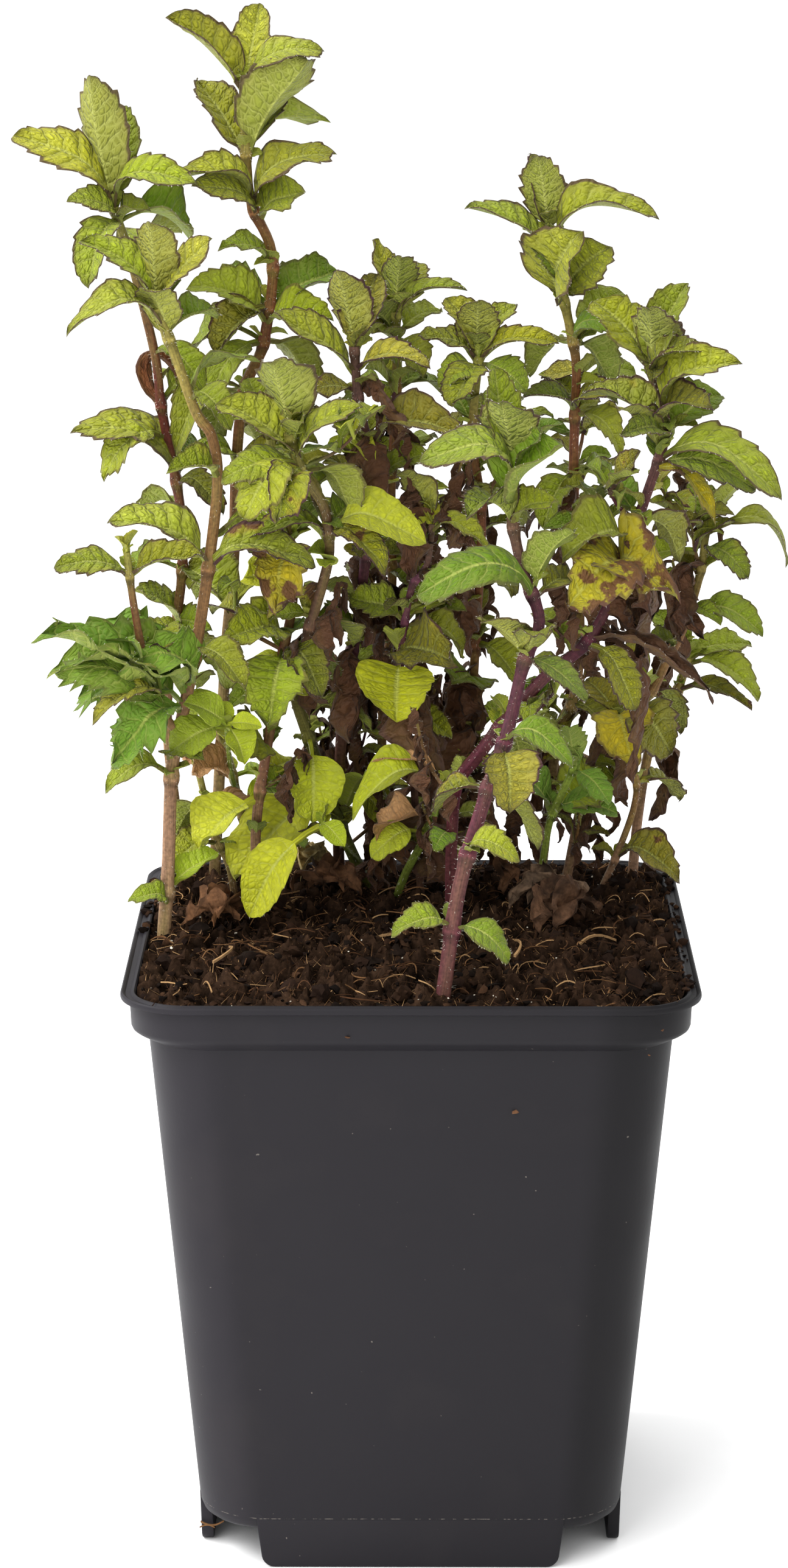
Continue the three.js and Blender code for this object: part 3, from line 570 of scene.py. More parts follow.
@dataclass(frozen=True)
class PlainFinish(Finish):
    """One even colour, for hairs too fine to show a pattern and for the studio floor."""

    name: str
    colour: str
    roughness: float

    def shader(self, add: Add) -> bpy.types.NodeSocket:
        """Mottles the colour a very little.

        Args:
            add: the function that adds a node to the finish's tree.

        Returns:
            The shader's output.
        """
        level = add("MULTIPLY_ADD", ("NOISE", ("PLACE",), 60.0), 0.06, 0.97)
        colour = add("SHADE", linear(self.colour)[:3], level)
        return add("SURFACE", colour, self.roughness)


# Tones


@dataclass(frozen=True)
class LeafLook:
    """How the leaves of one tone look and lie.

    The edge, age and hair are shares from 0 to 1. Crumple bends the blade out of its plane, the
    teeth are a share of their full depth, the stalk and the droop of the tip are shares of the
    leaf's length, and the curl is the angle in radians by which its length is rolled up, or down
    if it is negative.
    """

    blade: str
    edge: float
    age: float
    crumple: float
    hair: float = 0.35
    teeth: float = 1.0
    stalk: float = 0.13
    droop: float = 0.0
    curl: float = 0.0


LEAF_LOOKS = {
    "f": LeafLook("#a4ab44", 0.85, 0.08, 0.08),
    "g": LeafLook("#99a839", 0.6, 0.14, 0.14, stalk=0.2),
    "p": LeafLook("#9ca04a", 0.8, 0.05, 0.08),
    "q": LeafLook("#78942d", 0.5, 0.06, 0.14, 0.5, stalk=0.16),
    "v": LeafLook("#aca650", 1.0, 0.16, 0.16, 0.5),
    "o": LeafLook("#908e36", 0.9, 0.32, 0.2, stalk=0.2),
    "l": LeafLook("#c0cd46", 0.12, 0.14, 0.08, 0.15, teeth=0.3, stalk=0.24),
    "m": LeafLook("#bccb50", 0.05, 0.01, 0.05, 0.1, teeth=0.3, stalk=0.2),
    "h": LeafLook("#87954a", 0.9, 0.14, 0.16, 1.0),
    "n": LeafLook("#729c36", 0.15, 0.0, 0.08, 0.2, stalk=0.18),
    "r": LeafLook("#74983e", 0.3, 0.08, 0.48, 0.6, teeth=2.4),
    "b": LeafLook("#929a36", 1.0, 0.52, 0.3, stalk=0.2),
    "y": LeafLook("#c4b42e", 0.6, 0.66, 0.3, stalk=0.1, droop=0.3),
    "t": LeafLook("#cfa27c", 0.3, 0.0, 0.3, stalk=0.25),
    "d": LeafLook("#5f4030", 0.6, 0.0, 0.75, 0.2, stalk=0.2, droop=0.1, curl=-2.0),
    "w": LeafLook("#67493a", 0.5, 0.0, 0.55, 0.3, stalk=0.12, droop=0.1),
    "c": LeafLook("#75482f", 0.6, 0.0, 0.3, 0.2, teeth=0.5, stalk=0.1, curl=4.0),
}


class StemTone(Enum):
    """The colour of a stem at its foot, middle and tip, and how hairy it is."""

    TAN = ("#8f7550", "#75462e", "#85823a", 0.3)
    OLIVE = ("#957254", "#643228", "#84803a", 0.3)
    BROWN = ("#9d7a60", "#7c5a36", "#8a823c", 0.35)
    BROWN_OLIVE = ("#5f6a30", "#5c4232", "#7b7636", 0.3)
    DEEP_PURPLE = ("#6a4a3e", "#4c2832", "#5d4338", 0.3)
    PURPLE_BROWN = ("#6a4c3c", "#5c3040", "#66503c", 0.3)
    HAIRY_PURPLE = ("#5a2a33", "#4f2732", "#6a5539", 1.0)
    VIVID_PURPLE = ("#5c2632", "#4c202b", "#5c4136", 0.6)
    PALE = ("#a08058", "#a08a58", "#a39c50", 0.25)
    GREEN = ("#6f7c30", "#7c8a38", "#859a3c", 0.3)


# How the CAD frame's blades and stems grow


BREADTH = 1.14
FULL_LENGTH = 17.0
YOUNG_GROWTH = 0.34
FACING_FRONT = 0.6
FACING_AWAY = -0.45
FACING_BACK = -0.6
STEEPEST_CLIMB = 1.5
STEM_STEP = 17.0
FEWEST_STEPS = 5
# Degrees by which a blade gives way sideways and upwards, and the shares of its size it then keeps
TURNS = (0, 13, -13, 26, -26, 39, -39)
RISES = (0, 13, -13, 26, -26, 39)
SIZES = (1, 0.86, 0.72, 0.58)
MATCH_MM = 0.3
LEAST_JOINT_GAP = 5
JOINT_RINGS = np.array([-1.7, -0.9, -0.4, 0.0, 0.4, 0.9, 1.7])
GIRTH_TO_REACH = 0.385
STEM_HAIR_RADIUS = 0.035
LEAF_HAIR_RADIUS = 0.03
# Half the width and half the depth within which the side shoots stay
SIDE_ROOM = (58, 42)
SOIL_LEVEL = 117.2


@dataclass
class Pose:
    """Where a blade sits: its base and own axes, its length, arch and half width in mm."""

    base: np.ndarray
    along: np.ndarray
    across: np.ndarray
    upper: np.ndarray
    length: float
    arch: float
    half: float
    detailed: bool = True

    @classmethod
    def of(cls, base: np.ndarray, row: tuple, turn: float = 0, rise: float = 0,
           size: float = 1, growth: float = YOUNG_GROWTH) -> "Pose":
        """Works out a blade's pose from its row.

        Args:
            base: the point of the stem that it grows from.
            row: height, reach in x, y and z, arch, plumpness and, where given, facing.
            turn: degrees that it gives way by, about the vertical.
            rise: degrees that it gives way by, upwards.
            size: the share of its size that it keeps.
            growth: how much longer a short blade is than its row says.

        Returns:
            The pose.
        """
        _, x, y, z, arch, plump = row[:6]
        reach = math.sqrt(x * x + y * y + z * z)
        length = (reach + growth * max(0.0, FULL_LENGTH - reach)) * size
        heading = math.atan2(y, x) + math.radians(turn)
        climb = min(math.atan2(z, math.hypot(x, y)) + math.radians(rise), STEEPEST_CLIMB)
        along = np.array([math.cos(climb) * math.cos(heading),
                          math.cos(climb) * math.sin(heading), math.sin(climb)])
        level = np.array([-math.sin(heading), math.cos(heading), 0.0])
        upper = np.cross(along, level)
        broad = FACING_AWAY if upper[1] > 0.3 else FACING_FRONT
        upper[1] -= row[6] if len(row) > 6 else broad
        upper = unit(upper - along * upper.dot(along))
        return cls(np.asarray(base, float), along, np.cross(upper, along), upper, length,
                   arch * length, BREADTH * plump * length / 2, len(row) != 7)

    def tip(self) -> np.ndarray:
        """Gives the blade's tip."""
        return self.base + self.along * self.length


@dataclass
class LeafPattern:
    """One mint leaf modelled flat: a thin closed sheet whose columns follow its side veins.

    Each side vein ends in a tooth of the edge, as it does on the plant.
    """

    columns: int
    cells: int
    vein_count: int = 7
    stalk_half: float = 0.4
    tip_half: float = 0.1
    stalk_thick: float = 0.38
    blade_thick: float = 0.11
    midrib_groove: float = 0.22
    midrib_keel: float = 0.14
    slant: float = 0.72
    pattern: Pattern = field(init=False)

    def __post_init__(self) -> None:
        """Models the sheet and keeps its points as shares of a leaf."""
        deselect_all()
        bpy.ops.mesh.primitive_grid_add(x_subdivisions=self.columns,
                                        y_subdivisions=2 * self.cells, size=2)
        sheet = bpy.context.object
        apply_modifier(sheet, "SOLIDIFY", thickness=1.0, offset=0.0)
        self.pattern = Pattern.taken_from(sheet)
        x, y, z = self.pattern.points.T
        self.share = (x + 1) / 2
        self.side, self.face = y, np.sign(z)
        self.out, self.sign = np.abs(y), np.sign(y)
        column = np.rint(self.share * self.columns)
        self.tooth = np.clip(column * self.vein_count // self.columns, 0, self.vein_count - 1)
        self.rise = (column * self.vein_count / self.columns) % 1
        self.at_edge = self.out > 0.999

    def outline(self, pose: Pose, look: LeafLook, draw: Draws) -> tuple[np.ndarray, ...]:
        """Spreads the points along the stalk and the blade, within its toothed edge.

        Args:
            pose: where the blade sits.
            look: how its tone lies.
            draw: the stream that varies it.

        Returns:
            Each point's share of the leaf and of the blade, and the blade's half width there
            without the teeth and with them.
        """
        stalk = look.stalk * draw.between(0.8, 1.2)
        bare = 2 / self.columns
        blade = np.clip((self.share - bare) / (1 - bare), 0, 1)
        share = np.where(self.share < bare, self.share * stalk / bare,
                         stalk + (1 - stalk) * blade)
        slanted = self.slant * blade * (1 - blade) * self.out
        share, blade = share + slanted * (1 - stalk), blade + slanted
        outline = np.clip(blade, 0, 1) ** 0.5 * np.clip(1 - blade, 0, 1) ** 0.56 / 0.48
        narrowest = self.stalk_half + (self.tip_half - self.stalk_half) * blade
        half = np.maximum(pose.half * outline * (0.5 if look.curl > 3 else 1), narrowest)
        deep = np.array([draw.between(0.1, 1.7) for _ in range(2 * self.vein_count)])
        deep = deep[(self.tooth + self.vein_count * (self.side > 0)).astype(int)]
        toothed = self.at_edge * ramp(blade, 0.08, 0.25) * ramp(blade, 1.0, 0.93)
        toothed = toothed * deep * look.teeth
        width = half * (1 + toothed * (0.2 * self.rise - 0.09))
        return share + toothed * self.rise * 0.02, blade, half, width

    def cupped(self, pose: Pose, look: LeafLook, draw: Draws, blade: np.ndarray,
               half: np.ndarray, width: np.ndarray) -> tuple[np.ndarray, ...]:
        """Rolls, folds, waves, quilts, creases and twists the blade about its midrib.

        Args:
            pose: where the blade sits.
            look: how its tone lies.
            draw: the stream that varies it.
            blade: each point's share of the blade.
            half: the blade's half width there.
            width: the same with the teeth.

        Returns:
            How far each point lies beside the midrib and above it, and half the thickness there.
        """
        roll = draw.between(-0.35, 0.6) + look.crumple * draw.between(-0.8, 2.2)
        roll = roll if abs(roll) > 0.02 else 0.02
        roll = math.copysign(draw.between(1.2, 2.3), roll) if look.crumple > 0.5 else roll
        fold = draw.between(0.08, 0.5)
        sideways = width * np.sin(roll * self.side) / roll
        lift = width * (1 - np.cos(roll * self.side)) / roll + fold * half * self.out ** 1.15

        wave = pose.half * (draw.between(0.05, 0.14) + 0.3 * look.crumple)
        phase = draw.angle()
        lift = lift + wave * self.out ** 2 * np.sin(
            2 * math.pi * draw.between(1.2, 2.4) * self.share + phase + 1.3 * self.sign)
        pillow = np.abs(np.sin(math.pi * self.vein_count * self.share)) ** 0.8
        window = ramp(self.out, 0.0, 0.35) * (1 - 0.8 * ramp(self.out, 0.7, 1.0))
        window = window * ramp(blade, 0.0, 0.2)
        bulge = (0.009 + 0.015 * look.edge) * pose.length
        lift = lift + bulge * pillow * window * np.clip(1 - blade, 0, 1) ** 0.4
        lift = lift - self.midrib_groove * bell(sideways, 0.5)
        thinner = (self.blade_thick - self.stalk_thick) * ramp(blade, 0.0, 0.1)
        thick = self.stalk_thick + thinner
        thick = thick + self.midrib_keel * bell(sideways, 0.35) * np.clip(1 - blade, 0, 1)
        lift = lift + self.face * thick

        crease = look.crumple * pose.half * 0.25
        lift = lift + crease * np.sin(9 * self.share + 4 * self.side + phase)
        sideways = sideways * (1 - 0.35 * look.crumple * np.sin(7 * self.share + phase) ** 2)
        twist = draw.between(-0.3, 0.3) * (1 + 2 * look.crumple) * ramp(blade, 0.0, 1.0)
        twist = twist + 0.8 if look.curl else twist
        return (sideways * np.cos(twist) - lift * np.sin(twist),
                sideways * np.sin(twist) + lift * np.cos(twist), thick)

    def shaped(self, pose: Pose, look: LeafLook, draw: Draws) -> np.ndarray:
        """Shapes a copy of the leaf to a pose: outlined, cupped, bent along its length, crumpled.

        Args:
            pose: where the blade sits.
            look: how its tone lies.
            draw: the stream that varies it.

        Returns:
            The copy's points in mm.
        """
        share, blade, half, width = self.outline(pose, look, draw)
        turned, raised, thick = self.cupped(pose, look, draw, blade, half, width)
        bow = pose.length * draw.between(-0.13, 0.13) * np.clip(share, 0, 1) ** 2
        hook = pose.length * draw.between(-0.18, 0.16) * np.clip(share - 0.6, 0, 1) ** 2 * 2.2
        spine = 4 * pose.arch * np.clip(share * (1 - share), 0, 1) * (1.3 - 0.6 * share)
        sag = pose.length * look.crumple * 0.5 * np.clip(share - 0.3, 0, 1) ** 2
        sag = sag + pose.length * look.droop * np.clip(share, 0, 1) ** 2
        sag = sag + pose.length * draw.between(0.0, 0.05) * np.clip(share - 0.45, 0, 1) ** 2 * 3
        reach = share * pose.length - 0.35 * hook
        if look.curl:
            if look.curl > 3:
                pose.along = unit(pose.along * np.array([1.0, 0.2, 0.2]))
            pose.upper = unit(UP - pose.along * pose.along[2])
            pose.across = np.cross(pose.upper, pose.along)
            radius = pose.length * (1.4 if look.curl > 0 else 1.0) / look.curl
            reach = (radius + raised) * np.sin(look.curl * share)
            raised = radius - (radius + raised) * np.cos(look.curl * share)
        points = (pose.base + np.outer(reach, pose.along)
                  + np.outer(spine + raised - hook, pose.upper)
                  + np.outer(turned + bow, pose.across) - np.outer(sag, UP))
        if look.crumple > 0.25:
            flat = points - np.outer(self.face * thick, pose.upper)
            jolt = np.array([noise.noise_vector(Vector(place / 3.6)) for place in flat])
            if look.crumple > 0.5:
                jolt += np.array([noise.noise_vector(Vector(place / 1.5)) for place in flat]) * 0.5
                jolt *= 1.25
            points = points + jolt * (1.5 * look.crumple * ramp(blade, 0.0, 0.3))[:, None]
        return points

    def growth_map(self) -> np.ndarray:
        """Gives each point's place on the leaf: across, and along its side veins."""
        return np.column_stack([self.side / 2 + 0.5, self.share])

    def marks(self, edge: float, age: float) -> np.ndarray:
        """Gives each point's marks: underside, purple edge and age."""
        under = (self.face < 0).astype(float)
        return np.column_stack([under, np.full_like(under, edge), np.full_like(under, age)])


@dataclass
class StemPattern:
    """A straight tube of unit girth, cut into rings; every stem is a bent and squared copy."""

    rings: int = 104
    sides: int = 14
    buried_rings: int = 4
    pattern: Pattern = field(init=False)

    def __post_init__(self) -> None:
        """Models the tube and keeps its points as shares of a stem."""
        deselect_all()
        bpy.ops.mesh.primitive_cylinder_add(vertices=self.sides, radius=1, depth=1)
        tube = bpy.context.object
        heights = places_of(tube.data)[ends_of(tube.data)][:, :, 2]
        edit_edges(tube, np.abs(heights[:, 0] - heights[:, 1]) > 0.5)
        bpy.ops.mesh.subdivide(number_cuts=self.rings - 1)
        bpy.ops.object.mode_set(mode="OBJECT")
        self.pattern = Pattern.taken_from(tube)
        x, y, z = self.pattern.points.T
        self.share = np.clip(z + 0.5, 0, 1)
        self.angle = np.arctan2(y, x)

    def section(self) -> np.ndarray:
        """Gives the reach of a square section with round corners and hollow sides."""
        power = 5.0
        cos, sin = np.abs(np.cos(self.angle)), np.abs(np.sin(self.angle))
        reach = (cos ** power + sin ** power) ** (-1 / power)
        return reach * (1 - 0.07 * np.cos(4 * self.angle) ** 2 * (cos ** 4 + sin ** 4))


@dataclass
class HairPattern:
    """One fine plant hair: a three-sided spike, closed at its foot."""

    pattern: Pattern = field(init=False)

    def __post_init__(self) -> None:
        """Models the spike."""
        deselect_all()
        bpy.ops.mesh.primitive_cone_add(vertices=3, radius1=1, radius2=0, depth=1,
                                        location=(0, 0, 0.5))
        bpy.ops.object.transform_apply(location=True, rotation=True, scale=True)
        self.pattern = Pattern.taken_from(bpy.context.object)

    def copies(self, feet: np.ndarray, ways: np.ndarray, lengths: np.ndarray,
               radius: float) -> tuple[Pattern, np.ndarray]:
        """Sets many hairs at once.

        Args:
            feet: where each hair stands, in mm.
            ways: the direction of each hair, at a length of one.
            lengths: the length of each hair in mm.
            radius: the radius of their feet in mm.

        Returns:
            One pattern of all the hairs, and its points.
        """
        x, y, z = self.pattern.points.T[:, None, :, None]
        helper = np.where(np.abs(ways[:, 2:3]) < 0.9, UP, np.array([1.0, 0.0, 0.0]))
        first = units(np.cross(ways, helper))
        second = np.cross(ways, first)
        points = (feet[:, None] + z * (ways * lengths[:, None])[:, None]
                  + radius * (x * first[:, None] + y * second[:, None])).reshape(-1, 3)
        number = np.arange(len(feet), dtype=np.int32)[:, None]
        loops = (self.pattern.loops + len(self.pattern.points) * number).ravel()
        starts = (self.pattern.starts + len(self.pattern.loops) * number).ravel()
        return Pattern(points, loops, starts), points


# Shoots


@dataclass
class Patterns:
    """The shapes that all shoots are grown from."""

    large: LeafPattern = field(default_factory=lambda: LeafPattern(28, 5))
    small: LeafPattern = field(default_factory=lambda: LeafPattern(14, 2))
    tiny: LeafPattern = field(default_factory=lambda: LeafPattern(14, 1))
    stem: StemPattern = field(default_factory=StemPattern)
    twig: StemPattern = field(default_factory=lambda: StemPattern(10, 6, 0))
    hair: HairPattern = field(default_factory=HairPattern)


@dataclass
class Growth:
    """What a shoot grows from and into: the shapes, its stream and the drafts of its pieces."""

    shapes: Patterns
    draw: Draws = field(init=False)
    leaves: MeshDraft = field(default_factory=MeshDraft)
    stem: MeshDraft = field(default_factory=MeshDraft)
    hairs: MeshDraft = field(default_factory=MeshDraft)


def blade_row(height: float, length: float, heading: float, climb: float,
              *rest: float) -> tuple:
    """Gives a blade's row from its length, heading and climb.

    Args:
        height: the height at which it leaves the stem, in mm.
        length: its length in mm.
        heading: its angle about the vertical.
        climb: its angle above the level.
        rest: its arch, plumpness and facing.

    Returns:
        The row, with its reach in x, y and z.
    """
    level = length * math.cos(climb)
    return (height, level * math.cos(heading), level * math.sin(heading),
            length * math.sin(climb), *rest)


@dataclass
class Shoot:
    """One leafy shoot: the route of its square stem and the blades that stand on it, in mm.

    A leaf's row is its height on the stem, its reach in x, y and z, its arch and plumpness as
    shares of its length and, in some, its facing. The tones are one letter for each leaf. The
    extra leaves are ones that the CAD frame doesn't hold, with tones of their own.
    """

    name: str
    stem: StemTone
    girth: tuple[float, float]
    tones: str
    route: list[tuple]
    leaves: list[tuple] = field(default_factory=list)
    extra: list[tuple] = field(default_factory=list)
    extra_tones: str = ""
    fill: int = 0
    bush: float = 0.0
    branch: bool = False
    least_gap: float = 15.0
    buried: float = 5.5
    side_top: float = 215.0

    def points(self, shares: np.ndarray) -> np.ndarray:
        """Gives points of the smooth curve through the route.

        Args:
            shares: places along it from 0 to 1.

        Returns:
            One row of x, y and z for each share.
        """
        route = np.array(self.route, float)
        padded = np.vstack([2 * route[0] - route[1], route, 2 * route[-1] - route[-2]])
        place = np.clip(shares, 0, 1) * (len(route) - 1)
        start = np.minimum(place.astype(int), len(route) - 2)
        t = (place - start)[:, None]
        before, low, high, after = (padded[start + i] for i in range(4))
        leave, arrive = 0.5 * (high - before), 0.5 * (after - low)
        return (low + leave * t + (3 * (high - low) - 2 * leave - arrive) * t ** 2
                + (2 * (low - high) + leave + arrive) * t ** 3)

    def line(self, count: int = 400) -> np.ndarray:
        """Gives points of the stem's line that are evenly spread along its route."""
        return self.points(np.linspace(0, 1, count))

    @staticmethod
    def at_height(centres: np.ndarray, height: float) -> np.ndarray:
        """Gives the point of a line of centres at a height.

        Args:
            centres: points from the foot up.
            height: the height in mm.

        Returns:
            The point.
        """
        above = np.nonzero(centres[:, 2] >= height)[0]
        if len(above) == 0 or above[0] == 0:
            return centres[0 if len(above) else -1].copy()
        low, high = centres[above[0] - 1], centres[above[0]]
        return low + (high - low) * (height - low[2]) / (high[2] - low[2])

    def filled_back(self, seed: int) -> list[tuple]:
        """Gives the blades at the shoot's back, drawn as in the CAD frame.

        Args:
            seed: the shoot's place in the list of shoots, from one.

        Returns:
            Their rows.
        """
        draw = Draws(seed)
        foot, tip = self.route[0][2], self.route[-1][2]
        rows = []
        for i in range(self.fill):
            below = (i + 0.3 + 0.4 * draw()) / self.fill * 0.72 * (tip - foot)
            heading = math.radians(90 + (draw() - 0.5) * 150)
            climb = math.radians(max(55 - 1.3 * below, -5) + (draw() - 0.5) * 24)
            length = 11 + 5 * draw() + (4 if below < 35 else 0)
            rows.append(blade_row(tip - below, length, heading, climb, 0.12 + 0.2 * draw(),
                                  0.42 + 0.16 * draw(), FACING_BACK))
        return rows

    def settled(self, row: tuple, centres: np.ndarray, corners: np.ndarray) -> Pose | None:
        """Finds how the CAD frame's own blade gave way to its neighbours.

        Args:
            row: the blade's row.
            centres: the section centres of the stem in the frame.
            corners: the vertices of the shoot's CAD node in mm.

        Returns:
            The pose whose tip is a vertex of the node, or None where no such blade stands.
        """
        base = self.at_height(centres, row[0])
        for size, rise, turn in product(SIZES, RISES, TURNS):
            pose = Pose.of(base, row, turn, rise, size)
            if np.abs(corners - pose.tip()).sum(axis=1).min() < MATCH_MM:
                return pose
        return None

    def joints(self) -> list[float]:
        """Gives the heights of the stem's leaf joints, from the top down."""
        heights: list[float] = []
        for height in sorted((row[0] for row in self.leaves), reverse=True):
            if not heights or heights[-1] - height > LEAST_JOINT_GAP:
                heights.append(height)
        return heights

    def ring_places(self, count: int, buried: int) -> np.ndarray:
        """Gives each ring's place on the route: close together at the leaf joints.

        Args:
            count: how many rings the stem has.
            buried: how many of them stand below its foot.

        Returns:
            Shares of the route from the foot up, and negative ones for the buried rings.
        """
        line = self.line()
        joints = np.interp(self.joints(), line[:, 2], np.linspace(0, 1, len(line)))
        close = (joints[:, None] + JOINT_RINGS / length_of(line)).ravel()
        close = close[(close > 0.01) & (close < 0.99)][:count // 2]
        even = np.linspace(0, 1, count - buried - len(close))
        below = np.linspace(-1, 0, buried, endpoint=False)
        return np.concatenate([below, np.sort(np.concatenate([even, close]))])

    def axil_rows(self, draw: Draws) -> list[tuple[tuple, str]]:
        """Gives the small blades of the tip bud and of the axils, with their tones.

        Args:
            draw: the shoot's stream.

        Returns:
            Rows with a tone each.
        """
        rows = []
        foot, top = self.route[0][2], self.route[-1][2]
        living = [tone for tone in self.tones if tone not in "dybc"] or ["g"]

        def blade(height: float, length: float, climb: float, tone: str) -> None:
            """Adds one small blade with a drawn heading."""
            rows.append((blade_row(height, length, draw.angle(), climb, draw.between(0.05, 0.25),
                                   draw.between(0.42, 0.62), draw.between(0.0, 0.8)), tone))

        for _ in range(4):
            blade(top - draw.between(0, 1.5), draw.between(3.0, 5.5), draw.between(1.0, 1.4),
                  living[0])
        heights = self.joints()
        for height in np.repeat(heights, 2):
            blade(height + draw.between(-0.5, 1), draw.between(2.5, 5.5), draw.between(0.3, 1.2),
                  living[0])
        if self.bush == 0:
            return rows
        spaced = [top] + heights + [foot + 4]
        for high, low in zip(spaced, spaced[1:]):
            extra = int((high - low) / self.least_gap)
            heights += [high - (high - low) * (i + 1) / (extra + 1) for i in range(extra)]
        for height in np.repeat(heights, 2):
            length = draw.between(5, 9.5)
            tone = draw.one_of(living)
            tone = "d" if height < 200 and draw() < 0.2 else tone
            blade(height + draw.between(-2, 2), length, draw.between(0.0, 1.1), tone)
        return rows

    def side_shoots(self, draw: Draws) -> list["Shoot"]:
        """Gives the short leafy side shoots that grow from the lower leaf joints.

        Args:
            draw: the shoot's stream.

        Returns:
            The side shoots, which start on the stem.
        """
        line = self.line()
        foot = self.route[0][2]
        heights = [height for height in self.joints() if height < self.side_top]
        lowest = min(heights, default=self.side_top)
        gaps = int((lowest - foot) / 14)
        heights += [foot + (lowest - foot) * (i + 0.5) / (gaps + 1) for i in range(gaps)]
        living = [tone for tone in self.tones if tone not in "dyc"] + ["g", "o", "v", "b"]
        shoots = []
        for height in heights:
            for _ in range(int(self.bush + draw())):
                base = self.at_height(line, height)
                heading = draw.angle()
                reach, rise = draw.between(4, 13), draw.between(7, 19)
                way = np.array([math.cos(heading), math.sin(heading), 0.0])
                end = np.abs(base + way * reach)
                outside = end[0] > SIDE_ROOM[0] or end[1] > SIDE_ROOM[1]
                if outside or (way[1] < -0.6 and base[1] < 30):
                    way = -way
                middle = base + way * reach * 0.62 + UP * rise * 0.4
                end = base + way * reach + UP * rise
                dead = draw() < (0.62 if height < 165 else 0.5 if height < 205 else 0.2)
                rows, tones = [], ""
                for place in (0.4, 0.72, 1.0):
                    turn = heading + draw.between(0.9, 2.2)
                    for side in (0, math.pi):
                        length = draw.between(5, 12.5) * (1.1 - 0.3 * place) * (0.66 if dead else 1)
                        climb = draw.between(-0.9, 0.3) if dead else draw.between(-0.1, 0.9)
                        rows.append(blade_row(
                            base[2] + rise * place * 0.97, length, turn + side, climb,
                            draw.between(0.05, 0.3), draw.between(0.34, 0.62),
                            draw.between(-0.7, 0.9)))
                        tones += "d" if dead else draw.one_of(living)
                shoots.append(Shoot(self.name, StemTone.BROWN if dead else self.stem, (1.1, 0.6),
                                    tones, [tuple(base), tuple(middle), tuple(end)], rows,
                                    branch=True))
        return shoots

    def poses(self, seed: int, corners: np.ndarray, draw: Draws) -> list[tuple[Pose, str]]:
        """Gives every blade of the shoot with its tone.

        Args:
            seed: the shoot's place in the list of shoots, from one.
            corners: the vertices of its CAD node in mm.
            draw: the shoot's stream.

        Returns:
            Poses and tones.
        """
        steps = max(FEWEST_STEPS, math.floor(length_of(self.line(201)) / STEM_STEP + 0.5))
        centres, line = self.line(steps + 1), self.line()
        placed = []
        rows = list(zip(self.leaves, self.tones)) + [(row, "g") for row in self.filled_back(seed)]
        for row, tone in rows:
            pose = self.settled(row, centres, corners)
            if pose is not None:
                pose.base = self.at_height(line, row[0])
                placed.append((pose, tone))
        LOG.info("%s: %d of %d blades found in the frame", self.name, len(placed), len(rows))
        for row, tone in self.axil_rows(draw):
            placed.append((Pose.of(self.at_height(line, row[0]), row, growth=0), tone))
        for row, tone in zip(self.extra, self.extra_tones):
            pose = Pose.of(self.at_height(line, row[0]), row, growth=0)
            pose.detailed = True
            placed.append((pose, tone))
        return placed

    def free_poses(self) -> list[tuple[Pose, str]]:
        """Gives the blades of a side shoot, which the CAD frame doesn't hold, with their tones."""
        line = self.line(60)
        return [(Pose.of(self.at_height(line, row[0]), row, growth=0.1), tone)
                for row, tone in zip(self.leaves, self.tones)]

    def grow_stem(self, growth: Growth, tube: StemPattern) -> None:
        """Adds the stem and its hairs.

        Args:
            growth: what the shoot grows from and into.
            tube: the tube to copy.
        """
        places = self.ring_places(tube.rings + 1, 0 if self.branch else tube.buried_rings)
        shares = np.clip(places, 0, 1)
        centres = self.points(shares)
        centres[:, 2] -= self.buried * np.clip(-places, 0, 1)
        along = units(np.gradient(centres, axis=0))
        across = units(np.array([1.0, 0, 0]) - along * along[:, :1])
        other = np.cross(along, across)
        foot, tip = self.girth
        girth = (foot + (tip - foot) * shares) * GIRTH_TO_REACH
        near, scar, line = (np.zeros_like(girth) for _ in range(3))
        for height in self.joints():
            above = centres[:, 2] - height
            near = np.maximum(near, bell(above, 1.3))
            scar = np.maximum(scar, bell(above + 0.9, 0.8))
            line = np.maximum(line, bell(above, 0.35))
        girth = girth * (0.94 + 0.34 * near - 0.06 * line)
        ring = np.rint(tube.share * tube.rings).astype(int)
        reach = tube.section() * girth[ring]
        points = (centres[ring] + across[ring] * (reach * np.cos(tube.angle))[:, None]
                  + other[ring] * (reach * np.sin(tube.angle))[:, None])
        *tones, hairiness = self.stem.value
        low, middle, high = map(rgb, tones)
        browner, greener = (ramp(shares, *span)[:, None] for span in ((0, 0.5), (0.7, 1)))
        tint = (low * (1 - browner) + middle * browner) * (1 - greener) + high * greener
        tint = tint * (1 - 0.5 * scar[:, None]) * (1 + 0.7 * line[:, None])
        tint = tint * (0.62 + 0.16 * ramp(centres[:, 2:3], SOIL_LEVEL, SOIL_LEVEL + 8))
        length = length_of(centres)
        bark = np.column_stack([tube.angle / (2 * math.pi) + 0.5, tube.share * length / 10])
        mottle = noise_at([(a * 2.2, b * 1.3, foot + len(self.leaves)) for a, b in bark])
        paler = 0.05 + 0.35 * (0.5 + 0.5 * np.cos(4 * tube.angle)) + 0.8 * mottle
        paler = np.clip(paler, 0, 0.75)[:, None]
        plain = tint[ring]
        growth.stem.add(tube.pattern, points, bark,
                        plain * (1 - paler) + (high * 0.5 + plain * 0.55) * paler)

